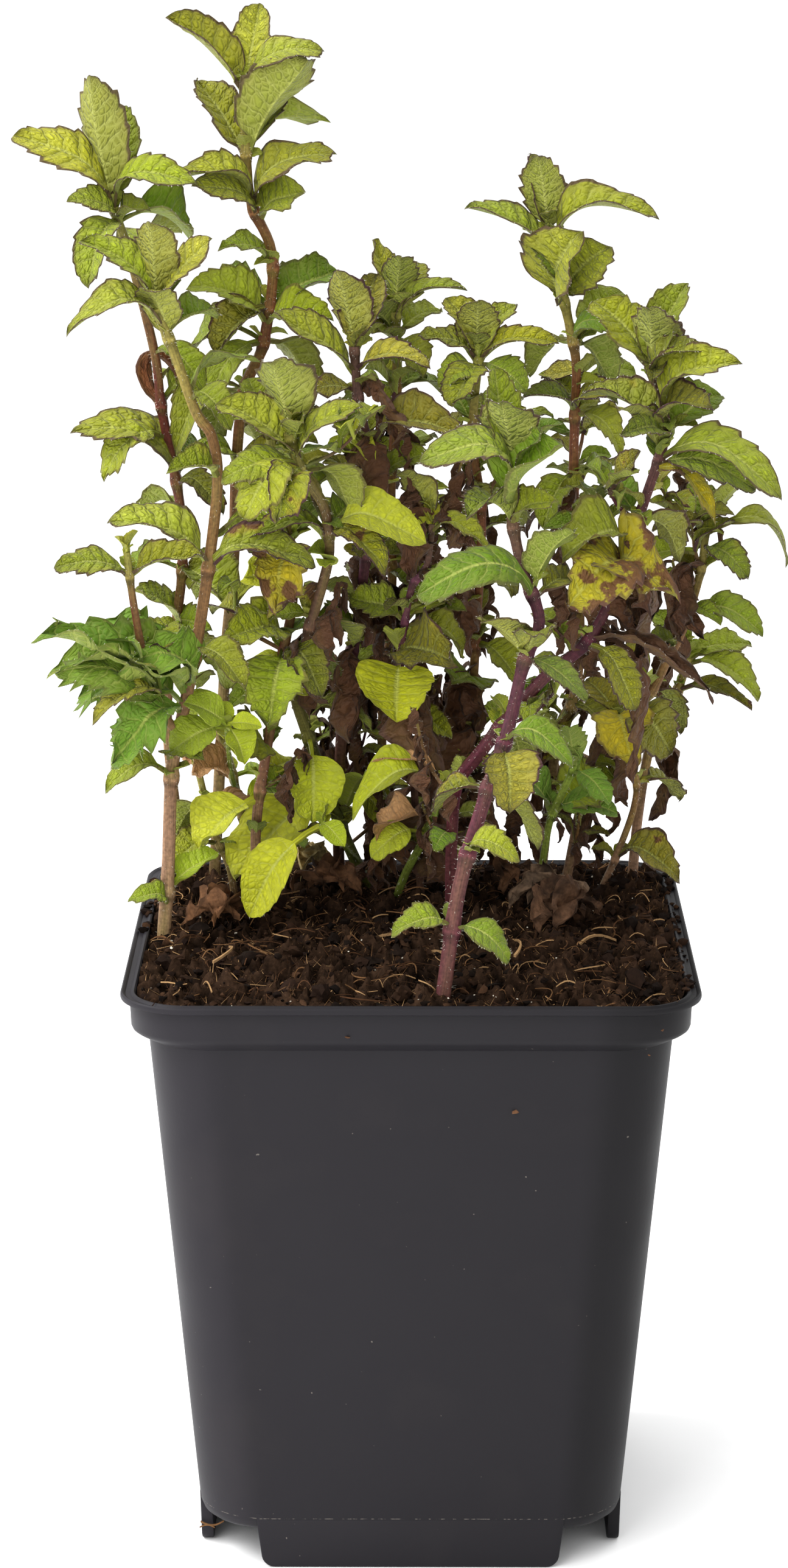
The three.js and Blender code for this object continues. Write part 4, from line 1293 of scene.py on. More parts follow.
        count = int(length * 7 * hairiness)
        rows = np.array([[growth.draw() for _ in range(5)] for _ in range(count)])
        place = rows[:, 0] * tube.rings
        at = np.clip(place.astype(int), 0, tube.rings - 1)
        t = (place - at)[:, None]
        angle = rows[:, 1] * 2 * math.pi
        cos, sin = np.cos(angle)[:, None], np.sin(angle)[:, None]
        outward = across[at] * cos + other[at] * sin
        square = (np.abs(cos) ** 5 + np.abs(sin) ** 5) ** -0.2
        feet = centres[at] * (1 - t) + centres[at + 1] * t
        feet = feet + outward * (girth[at][:, None] * square * 0.93)
        ways = units(outward + along[at] * (rows[:, 2:3] - 0.6) * 0.9
                     + across[at] * (rows[:, 3:4] - 0.5) * 0.5)
        lengths = 0.35 + 0.75 * rows[:, 4] * (0.5 + 0.5 * hairiness)
        growth.hairs.add(*growth.shapes.hair.copies(feet, ways, lengths, STEM_HAIR_RADIUS))

    def grow_leaves(self, growth: Growth, poses: list[tuple[Pose, str]]) -> None:
        """Adds the blades and the hairs of their edges.

        Args:
            growth: what the shoot grows from and into.
            poses: the blades with their tones.
        """
        shapes, draw = growth.shapes, growth.draw
        for pose, tone in poses:
            look = LEAF_LOOKS[tone]
            sheet = shapes.small if pose.length > 6 else shapes.tiny
            sheet = shapes.large if pose.detailed and pose.length > 9.5 else sheet
            points = sheet.shaped(pose, look, draw)
            colour = rgb(look.blade) * draw.between(0.72, 1.12)
            hue = np.array([draw.between(0.88, 1.14), 1.0, draw.between(0.22, 0.56)])
            colour = colour * (hue if look.age > 0 else np.array([1.06, 1.0, 0.76]))
            age = min(look.age * draw.between(0.6, 1.3), 1.0)
            edge = look.edge * float(ramp(np.array(pose.length), 3.0, 10.0))
            growth.leaves.add(sheet.pattern, points, sheet.growth_map(), colour,
                              sheet.marks(edge, age))
            rim = np.nonzero(sheet.at_edge & (sheet.face > 0))[0]
            count = int(look.hair * pose.length * (3.2 if pose.detailed else 1.2))
            picks = rim[[int(draw() * len(rim)) for _ in range(count)]]
            sign = np.sign(sheet.side[picks])[:, None]
            loose = np.array([[draw() - 0.5, draw() - 0.5, draw()] for _ in range(count)])
            loose = loose.reshape(-1, 3)
            ways = units(pose.across * sign + pose.along * (0.4 + loose[:, :1])
                         + pose.upper * loose[:, 1:2])
            lengths = 0.25 + 0.4 * loose[:, 2]
            growth.hairs.add(*shapes.hair.copies(points[picks], ways, lengths, LEAF_HAIR_RADIUS))


@dataclass
class MintPlant:
    """All the shoots: each one becomes a piece of leaves, a piece of stem and a piece of hairs."""

    shoots: list[Shoot]
    leaf_finish: MintLeafFinish = MintLeafFinish()
    stem_finish: GrownFinish = GrownFinish("living mint stem", 0.55, (30.0, 1.6, 1.0), 1.5, 0.12,
                                           specular=0.18)
    hair_finish: PlainFinish = PlainFinish("plant hair", "#e6e2d2", 0.6)
    seed: int = 700

    def build(self, nodes: dict[str, bpy.types.Object]) -> None:
        """Grows every shoot in place of its CAD node.

        Args:
            nodes: the frame's nodes by name.
        """
        shapes = Patterns()
        leaf, stem, hair = (finish.material() for finish in
                            (self.leaf_finish, self.stem_finish, self.hair_finish))
        growths: dict[str, Growth] = {}
        for place, shoot in enumerate(self.shoots, start=1):
            growth = growths.setdefault(shoot.name, Growth(shapes))
            growth.draw = Draws(self.seed + place)
            corners = places_of(nodes[shoot.name].data) / MM
            poses = shoot.poses(place, corners, growth.draw)
            shoot.grow_stem(growth, shapes.stem)
            shoot.grow_leaves(growth, poses)
            for side in shoot.side_shoots(growth.draw):
                side.grow_stem(growth, shapes.twig)
                side.grow_leaves(growth, side.free_poses())
        for name, growth in growths.items():
            growth.leaves.piece(f"{name}_leaves", leaf, [name], "mint_shoot")
            growth.stem.piece(f"{name}_stem", stem, [name], "mint_shoot", sharp=80)
            growth.hairs.piece(f"{name}_hairs", hair, [name], "mint_shoot")


# Pot and soil


def rounded_square(half: float, radius: float, angle: np.ndarray) -> np.ndarray:
    """Gives the outline of a square with round corners, with all of its points on the corners.

    Args:
        half: half of its width.
        radius: the radius of its corners.
        angle: evenly spread angles round a circle, one for each point.

    Returns:
        One row of x and y for each angle.
    """
    quarter = math.pi / 2
    turn = (angle / quarter) % 4
    middle = (np.floor(turn) + 0.5) * quarter
    swing = middle + (turn % 1 - 0.5) * quarter * 1.06
    swing = np.clip(swing, middle - quarter / 2, middle + quarter / 2)
    reach = half - radius
    return np.column_stack([np.sign(np.cos(middle)) * reach + radius * np.cos(swing),
                            np.sign(np.sin(middle)) * reach + radius * np.sin(swing)])


@dataclass
class NurseryPot:
    """The square tapered pot: lip, band, shoulder, walls, floor with drain holes, foot tabs."""

    height: float = 118.0
    lip_half: float = 55.0
    band_half: float = 53.2
    body_top_half: float = 49.9
    body_foot_half: float = 41.4
    corner: float = 12.0
    wall: float = 1.2
    floor: float = 7.5
    shoulder_drop: float = 9.6
    foot_round: float = 2.4
    outline_points: int = 96
    tab_top: float = 60.6
    tab_foot: float = 57.6
    tab_thickness: float = 2.4
    tab_overlap: float = 4.0
    hole_radius: float = 4.0
    hole_ring: float = 27.0
    finish: ThermoformedPotFinish = ThermoformedPotFinish()

    def body_half(self, z: float) -> float:
        """Gives the outer half width of the tapered body at a height."""
        share = (z - self.floor) / (self.height - self.shoulder_drop - self.floor)
        return self.body_foot_half + (self.body_top_half - self.body_foot_half) * share

    def profile(self) -> list[tuple[float, float, float]]:
        """Gives half width, corner radius and height of each ring, up the outside and down again.

        Returns:
            The rings in order.
        """
        top, wall, corner, drop = self.height, self.wall, self.corner, self.shoulder_drop
        foot = self.floor + self.foot_round
        rings = [(self.body_foot_half - 3.0, corner - 1, self.floor),
                 (self.body_foot_half - 1.4, corner, self.floor + 0.2),
                 (self.body_foot_half - 0.4, corner + 1, self.floor + 1.0),
                 (self.body_half(foot), corner + 2, foot)]
        for share in (0.15, 0.35, 0.55, 0.75, 0.9, 0.97):
            z = foot + (top - drop - foot) * share
            rings.append((self.body_half(z), corner + 2 * (1 - share), z))
        # Steps out, the change of the corner's radius and the drop from the top
        for half, steps in (
                (self.body_top_half, ((0, 0, drop), (0.5, 0, drop - 0.35))),
                (self.band_half, ((-1.0, 0, 7.9), (-0.4, 0, 7.3), (-0.15, 0, 6.6), (0, 0, 3.0),
                                  (0.05, 0, 1.9), (0.3, 0, 1.6))),
                (self.lip_half, ((-0.5, 1, 1.35), (-0.1, 1, 1.15), (0, 1, 0.75), (-0.08, 1, 0.25),
                                 (-0.35, 0.8, 0), (-0.7, 0.5, 0.12), (-1.0, 0.1, 0.45),
                                 (-1.9, -0.8, 0.5))),
                (self.band_half - wall, ((0.75, -1.2, 0.12), (0.4, -1.5, 0.08), (0.1, -1.8, 0.35),
                                         (0, -2, 0.9), (-0.4, -2, 6.9))),
                (self.body_top_half - wall, ((0, -wall, drop - 0.2),))):
            rings += [(half + out, corner + rounder, top - down) for out, rounder, down in steps]
        return rings + [(self.body_half(foot) - wall, corner + 1, foot + 0.2),
                        (self.body_foot_half - 3.4, corner - 1, self.floor + wall)]

    def shell(self) -> bpy.types.Object:
        """Models the pot's shell from one outline that is extruded ring by ring.

        Returns:
            The closed shell.
        """
        deselect_all()
        bpy.ops.mesh.primitive_circle_add(vertices=self.outline_points, radius=1)
        pot = bpy.context.object
        edit_edges(pot)
        profile = self.profile()
        for _ in profile[1:]:
            bpy.ops.mesh.extrude_region_move(TRANSFORM_OT_translate={"value": (0, 0, 1)})
        bpy.ops.object.mode_set(mode="OBJECT")
        places = places_of(pot.data)
        level = np.rint(places[:, 2]).astype(int)
        angle = np.arctan2(places[:, 1], places[:, 0]) % (2 * math.pi)
        for index, (half, radius, z) in enumerate(profile):
            ring = level == index
            places[ring, :2] = rounded_square(half, radius, angle[ring])
            places[ring, 2] = z
        move_to(pot.data, places * MM)
        for index in (0, len(profile) - 1):
            bpy.ops.object.mode_set(mode="OBJECT")
            edit_edges(pot, (level[ends_of(pot.data)] == index).all(axis=1))
            bpy.ops.mesh.edge_face_add()
        bpy.ops.mesh.select_all(action="SELECT")
        bpy.ops.mesh.normals_make_consistent(inside=False)
        bpy.ops.object.mode_set(mode="OBJECT")
        return pot

    def drill(self, pot: bpy.types.Object) -> None:
        """Cuts the four drain holes into the floor.

        Args:
            pot: the closed shell.
        """
        reach = self.hole_ring * MM
        for turn in range(4):
            angle = (turn + 0.5) * math.pi / 2
            deselect_all()
            bpy.ops.mesh.primitive_cylinder_add(
                vertices=28, radius=self.hole_radius * MM, depth=self.floor * MM,
                location=(reach * math.cos(angle), reach * math.sin(angle), self.floor * MM))
            cutter = bpy.context.object
            apply_modifier(pot, "BOOLEAN", operation="DIFFERENCE", object=cutter, solver="EXACT")
            bpy.data.objects.remove(cutter)

    def tab(self, turn: float) -> bpy.types.Object:
        """Models one foot tab from a block, its lower corners rounded and its edges softened.

        Args:
            turn: the angle of its side about the pot's axis.

        Returns:
            The tab in its place.
        """
        height = self.floor + self.tab_overlap
        deselect_all()
        bpy.ops.mesh.primitive_cube_add(size=1, scale=(self.tab_foot, self.tab_thickness, height))
        tab = bpy.context.object
        bpy.ops.object.transform_apply(location=True, rotation=True, scale=True)
        places = places_of(tab.data)
        places[:, 0] *= np.where(places[:, 2] > 0, self.tab_top / self.tab_foot, 1)
        move_to(tab.data, places)
        ends = places[ends_of(tab.data)]
        low = (ends[:, :, 2] < 0).all(axis=1)
        edit_edges(tab, low & (np.abs(ends[:, 0, 1] - ends[:, 1, 1]) > 1))
        bpy.ops.mesh.bevel(offset=2.2, segments=5, affect="EDGES")
        bpy.ops.object.mode_set(mode="OBJECT")
        apply_modifier(tab, "BEVEL", width=0.35, segments=2, limit_method="ANGLE")
        x, y, z = places_of(tab.data).T
        z = z + height / 2
        level = self.floor + self.foot_round
        y = y + self.tab_thickness / 2 - self.body_half(level) + 0.02 * (level - z)
        cos, sin = math.cos(turn), math.sin(turn)
        move_to(tab.data, np.column_stack([x * cos - y * sin, x * sin + y * cos, z]) * MM)
        return tab

    def build(self) -> None:
        """Makes the pot one piece in place of its CAD node."""
        pot = self.shell()
        self.drill(pot)
        tabs = [self.tab(turn * math.pi / 2) for turn in range(4)]
        deselect_all()
        for piece in [*tabs, pot]:
            piece.select_set(True)
        bpy.context.view_layer.objects.active = pot
        bpy.ops.object.join()
        pot.name = pot.data.name = "nursery_pot"
        pot.data.materials.clear()
        pot.data.materials.append(self.finish.material())
        smooth_by_angle(pot, 35)
        dress(pot, ["pot"])


@dataclass
class SoilBed:
    """The peat that fills the pot: a clumpy top, loose crumbs, bark scraps and root fibres."""

    half: float = 51.8
    corner: float = 10.2
    level: float = SOIL_LEVEL
    dome: float = 1.2
    cells: int = 170
    bottom: float = 12.0
    clumps: int = 190
    crumbs: int = 1700
    spilt: int = 150
    scraps: int = 110
    bristles: int = 9000
    fibres: int = 560
    specks: int = 150
    seed: int = 41
    soil_finish: GrownFinish = GrownFinish("screened peat compost", 0.95, (60.0, 60.0, 1.0), 1.5,
                                           0.35, specular=0.03, speck="#6f5238", speck_share=0.3)
    scrap_finish: GrownFinish = GrownFinish("bark, roots and perlite in compost", 0.9,
                                            (3.0, 9.0, 1.0), 0.8, 0.12, specular=0.05)

    def relief(self, x: float, y: float) -> float:
        """Gives how far the clumps stand above the soil's mean surface, or below it.

        Args:
            x: place to the right in mm.
            y: place to the back in mm.

        Returns:
            The height in mm.
        """
        clump = noise.noise((x / 8, y / 8, 3.1)) * 2.6
        lump = (abs(noise.noise((x / 3.6, y / 3.6, 8.2))) - 0.25) * 4.6
        grit = (abs(noise.noise((x / 1.6, y / 1.6, 1.7))) - 0.25) * 3.0
        return clump + lump + grit + noise.noise((x / 0.8, y / 0.8, 5.5)) * 0.9

    def height(self, x: float, y: float) -> float:
        """Gives the height of the soil's surface, clumps included.

        Args:
            x: place to the right in mm.
            y: place to the back in mm.

        Returns:
            The height in mm.
        """
        share = min(max(abs(x), abs(y)) / self.half, 1.0)
        front = ramp(-y / self.half, 0.8, 1.0)
        rim = 1 - ramp(share, 0.88, 1.0) * (0.35 + 0.45 * front)
        heap = 1.1 * ramp(x, 20.0, 50.0) * (1 - front)
        return float(self.level + self.dome * (1 - share * share) + heap + self.relief(x, y) * rim)

    def bed(self) -> None:
        """Makes the bed one piece, from a grid whose rim is drawn down into a closed body."""
        deselect_all()
        bpy.ops.mesh.primitive_grid_add(x_subdivisions=self.cells, y_subdivisions=self.cells,
                                        size=2 * self.half)
        bed = bpy.context.object
        places = places_of(bed.data)
        inner = self.half - self.corner
        over = np.abs(places[:, :2]) - inner
        both = (over > 0).all(axis=1)
        pull = over[both].max(axis=1) / np.linalg.norm(over[both], axis=1)
        places[both, :2] = np.sign(places[both, :2]) * (inner + over[both] * pull[:, None])
        places[:, 2] = [self.height(x, y) for x, y in places[:, :2]]
        move_to(bed.data, places * MM)
        edit_edges(bed, np.zeros(len(bed.data.edges), bool))
        bpy.ops.mesh.select_non_manifold()
        for drop, share in ((7.5, 0.92), (self.level - self.bottom - 7.5, 0.8)):
            bpy.ops.mesh.extrude_region_move(
                TRANSFORM_OT_translate={"value": (0, 0, -drop * MM)})
            bpy.ops.transform.resize(value=(share, share, 1))
        bpy.ops.mesh.edge_face_add()
        bpy.ops.object.mode_set(mode="OBJECT")
        bed.name = bed.data.name = "soil_bed"
        places = places_of(bed.data) / MM
        # Painted shade: darker in the hollows between clumps, lighter on them, with a random mottle
        raised = np.array([self.relief(x, y) for x, y, _ in places])
        shade = noise_at((x / 2.2, y / 2.2, 6.6) for x, y, _ in places)
        light = (0.1 + 0.9 * ramp(raised, -2.2, 1.8)) * (1 + 0.9 * shade)
        paint(bed.data, "tint", rgb("#2c1f16") * light[:, None])
        bed.data.uv_layers.active.name = "growth_map"
        bed.data.materials.append(self.soil_finish.material())
        smooth_by_angle(bed, 60)
        dress(bed, ["soil"])

    def litter(self) -> None:
        """Strews clumps, crumbs, bark scraps and perlite over the bed, as one piece."""
        draw = Draws(self.seed)
        draft = MeshDraft()
        lumps = []
        for level in (1, 2):
            deselect_all()
            bpy.ops.mesh.primitive_ico_sphere_add(subdivisions=level, radius=1)
            lumps.append(Pattern.taken_from(bpy.context.object))
        grain, clump = lumps
        browns = [rgb(c) for c in ("#17100c", "#211610", "#2b1d14", "#130d0a", "#3d2a1d", "#1c130f")]
        crumb, flake = (1.0, 1.0, 0.8), (1.0, 0.9, 0.8)

        def strewn(lump: Pattern, sizes: tuple[float, float], stretch: tuple[float, float, float],
                   colour: np.ndarray, place: tuple[float, float, float] | None = None) -> None:
            """Lays one lump at a stated or a drawn place."""
            x, y = (draw.between(-1, 1) * (self.half - 1) for _ in range(2))
            x, y, z = place or (x, y, self.height(x, y))
            size = sizes[0] + (sizes[1] - sizes[0]) * draw() ** 2
            jolt = np.array([[0.6 + 0.8 * draw()] for _ in lump.points])
            turn = draw.angle()
            tip = draw.between(-0.5, 0.5)
            points = lump.points * jolt * np.array(stretch) * size
            points = points @ np.array([[math.cos(turn), math.sin(turn), 0],
                                        [-math.sin(turn), math.cos(turn), 0],
                                        [0, math.sin(tip), 1]])
            points = points + np.array([x, y, z + 0.15 * size])
            draft.add(lump, points, lump.points[:, :2], colour * draw.between(0.6, 1.3))

        for count, lump, sizes, stretch, colours in (
                (self.clumps, clump, (0.7, 2.2), flake, browns[:3]),
                (self.crumbs, grain, (0.25, 1.1), crumb, browns),
                (self.scraps, grain, (0.5, 1.7), (1.6, 0.5, 0.2), browns[2:5])):
            for _ in range(count):
                strewn(lump, sizes, stretch, draw.one_of(colours))
        for _ in range(self.specks):
            strewn(grain, (0.12, 0.34), flake, rgb("#cfc7b6"))
        for _ in range(self.spilt):
            out, along = draw.between(50.5, 53.8), draw.between(-42, 44)
            side = (out, along) if draw() < 0.75 else (-out, 20 + along / 2)
            strewn(grain, (0.3, 1.2), crumb, draw.one_of(browns), (*side, 117.7))
        for x, z in ((47, 113.4), (44.5, 108.6), (-12, 112.0), (20, 96.0)):
            front = (0.0842 * (z - 9.9) + 41.6) if z < 108 else 53.1
            strewn(grain, (0.3, 0.7), (1.6, 0.5, 0.5), browns[4] * 2.4, (x, -front, z))
        draft.piece("soil_litter", self.scrap_finish.material(), ["soil"], "potting_soil",
                    sharp=50)

    def roots(self, hair: HairPattern) -> None:
        """Makes the fibres one piece: short bristles of peat, and long bent roots that lie on it.

        Args:
            hair: the spike that the bristles are copied from.
        """
        draw = Draws(self.seed + 1)
        draft = MeshDraft()
        browns = np.array([rgb(c) for c in
                           ("#150e0a", "#20150e", "#2e1f15", "#4a3221", "#6b4d32", "#9c7b55")])
        rows, tints = [], []
        for _ in range(self.bristles):
            x, y = (draw.between(-1, 1) * (self.half - 0.8) for _ in range(2))
            heading, climb = draw.angle(), draw.between(-0.1, 1.2)
            level = math.cos(climb)
            rows.append((x, y, self.height(x, y) - 0.3, level * math.cos(heading),
                         level * math.sin(heading), math.sin(climb), 0.9 + 2.4 * draw() ** 2))
            tints.append(browns[int(5.99 * draw() ** 1.4)])
        feet, ways, sizes = np.split(np.array(rows), (3, 6), axis=1)
        reach = np.abs(feet[:, :2] + ways[:, :2] * sizes).max(axis=1)
        sizes = np.where(reach > self.half - 0.3, sizes[:, 0] * 0.3, sizes[:, 0])
        pattern, points = hair.copies(feet, ways, sizes, 0.08)
        draft.add(pattern, points, tint=np.repeat(tints, len(points) // len(feet), axis=0))

        deselect_all()
        bpy.ops.mesh.primitive_grid_add(x_subdivisions=6, y_subdivisions=1, size=2)
        sheet = bpy.context.object
        apply_modifier(sheet, "SOLIDIFY", thickness=2.0, offset=0.0)
        strand = Pattern.taken_from(sheet)
        share = (strand.points[:, 0] + 1) / 2
        bow = np.sin(math.pi * share)

        def root(x: float, y: float, heading: float, bend: float, length: float, radius: float,
                 rise: float, colour: np.ndarray, height: float | None = None) -> None:
            """Lays one bent root on the soil, or at a stated height."""
            way = heading + bend * share
            px, py = x + length * share * np.cos(way), y + length * share * np.sin(way)
            pz = height
            if height is None:
                px, py = (np.clip(p, 0.5 - self.half, self.half - 0.5) for p in (px, py))
                ends = [self.height(*place) for place in
                        ((px.min(), py.min()), (px.mean(), py.mean()), (px.max(), py.max()))]
                pz = max(ends) * share + ends[1] * (1 - share)
            side = strand.points[:, 1] * radius * (1.15 - share)
            points = np.column_stack([px - side * np.sin(way), py + side * np.cos(way),
                                      pz + rise * bow + strand.points[:, 2] * radius])
            draft.add(strand, points, np.column_stack([share, share]), colour)

        for _ in range(self.fibres):
            pick = draw()
            root(draw.between(-1, 1) * (self.half - 2), draw.between(-1, 1) * (self.half - 2),
                 draw.angle(), draw.between(-1.6, 1.6), 2.5 + 7 * draw() ** 2,
                 draw.between(0.05, 0.12), draw.between(0.0, 1.4),
                 browns[2 + int(pick * 3.7)] * draw.between(0.8, 1.4))
        for x, y, heading, bend, length in (
                (-28, 22, 4.3, 0.9, 13), (-24, 24, 5.2, -0.8, 11), (-34, 14, 4.9, 0.5, 9),
                (20, -26, 1.0, 0.7, 11), (33, -12, 0.9, -0.5, 8), (-10, -8, 5.7, 0.6, 9),
                (8, -20, 2.0, 1.1, 8), (-38, -30, 0.4, 0.9, 10)):
            root(x, y, heading, bend, length, 0.24, 1.2, browns[5] * 0.9)
        root(-41.6, -29.9, -0.05, 0.1, 4.6, 0.16, -0.8, browns[4] * 1.2, 4.6)
        root(-41.8, -30.0, 0.06, -0.1, 3.0, 0.12, 0.5, browns[4] * 1.1, 3.4)
        draft.piece("soil_roots", self.scrap_finish.material(), ["soil"], "potting_soil", sharp=50)

    def build(self) -> None:
        """Makes the bed, its litter and its roots in place of the soil's CAD node."""
        self.bed()
        self.litter()
        self.roots(HairPattern())


@dataclass
class DryLeaves:
    """The dead leaves that lie on the soil, each shrivelled, with smaller ones beside it."""

    rows: list[tuple]
    finish: GrownFinish = GrownFinish("dried mint leaf", 0.8, (9.0, 14.0, 1.0), 1.2, 0.25, 0.15)
    seed: int = 90

    def build(self) -> None:
        """Lays each leaf where its CAD node lies and makes it a piece."""
        material = self.finish.material()
        sheet = LeafPattern(28, 5)
        rim = ramp(np.abs(sheet.side), 0.5, 1.0)
        for index, (name, x, y, heading, length, arch, plump, colour) in enumerate(self.rows):
            low, high = (np.array(corner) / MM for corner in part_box(name))
            angle = math.radians(heading)
            row = (0, length * math.cos(angle), length * math.sin(angle), 0.6, arch, plump, 0)
            base = np.array([x, y, 0.0])
            poses = [Pose.of(base, row, turn) for turn in range(0, 360, 15)]
            corners = [np.array(corner) for corner in product(*zip(low[:2], high[:2]))]
            pose = min(poses, key=lambda p: min(np.abs(p.tip()[:2] - c).sum() for c in corners))
            pose.base = np.array([x, y, low[2] + 0.5])
            draw = Draws(self.seed + index)
            draft = MeshDraft()
            for place, size in enumerate((1.0, 0.8, 0.62)):
                turned = Pose.of(pose.base, row, draw.between(-70, 70) + 150 * place, 0, size)
                lying = pose if place == 0 else turned
                lying.half *= 1.15
                points = sheet.shaped(lying, LeafLook(colour, 0.5, 0.5, 0.6), draw)
                points[:, :2] += ((low + high)[:2] / 2 - points.mean(axis=0)[:2]) * 0.6
                points[:, 2] = low[2] + 0.2 + place + 0.65 * (points[:, 2] - points[:, 2].min())
                mottle = noise_at(points / 2.6)
                light = (1 + 1.1 * mottle - 0.3 * rim).clip(0.2, 1.6) * (0.75 - 0.12 * place)
                draft.add(sheet.pattern, points, sheet.growth_map(), rgb(colour) * light[:, None])
            draft.piece(f"{name}_curled", material, [name], "dry_leaf")


# Stage


@dataclass
class Studio:
    """The photograph's camera, a pale floor and soft light from large panels."""

    frame_height_px: int = 2576
    focal_px: float = 6900.0
    axis_offset_px: float = 29.0
    camera_mm: tuple[float, float, float] = (0.0, -804.0, 343.7)
    pitch: float = 0.239
    sensor_mm: float = 36.0
    air_strength: float = 1.12
    floor_finish: PlainFinish = PlainFinish("matt white studio board", "#fafafa", 0.9)

    def camera(self) -> None:
        """Sets the camera where the photograph was taken from."""
        bpy.ops.object.camera_add(
            location=[v * MM for v in self.camera_mm],
            rotation=(math.pi / 2 - self.pitch, 0, self.axis_offset_px / self.focal_px))
        camera = bpy.context.object
        camera.name = "photo_camera"
        camera.data.sensor_width = self.sensor_mm
        camera.data.lens = self.sensor_mm * self.focal_px / self.frame_height_px
        camera.data.clip_start, camera.data.clip_end = 0.01, 60
        bpy.context.scene.camera = camera

    def panel(self, name: str, place: tuple[float, float, float], size: float, power: float,
              target: tuple[float, float, float] = (0.0, 0.0, 0.16)) -> None:
        """Adds one soft light panel.

        Args:
            name: the panel's name.
            place: its place in metres.
            size: the side of the panel in metres.
            power: its power in watts.
            target: the point in metres that it faces.
        """
        bpy.ops.object.light_add(type="AREA", location=place)
        light = bpy.context.object
        light.name = name
        light.data.shape = "SQUARE"
        light.data.size = size
        light.data.energy = power
        aim = Vector(target) - Vector(place)
        light.rotation_euler = aim.to_track_quat("-Z", "Y").to_euler()

    def build(self) -> None:
        """Builds the camera, the light and the floor."""
        self.camera()
        self.panel("key_panel", (-0.9, -1.3, 1.5), 1.2, 24)
        self.panel("top_panel", (0.1, 0.4, 1.9), 1.4, 11)
        self.panel("low_panel", (-0.5, -1.6, 0.35), 0.9, 5)
        self.panel("floor_panel", (-0.75, 0.0, 0.8), 0.5, 10, (-0.7, 0.0, 0.0))
        world = bpy.data.worlds.new("studio_air")
        world.use_nodes = True
        colour, strength = world.node_tree.nodes["Background"].inputs[:2]
        colour.default_value, strength.default_value = (1, 1, 1, 1), self.air_strength
        bpy.context.scene.world = world
        bpy.context.scene.view_settings.view_transform = "Standard"
        deselect_all()
        bpy.ops.mesh.primitive_plane_add(size=40)
        floor = bpy.context.object
        floor.name = "studio_floor"
        floor.data.materials.append(self.floor_finish.material())


# The plant's own rows


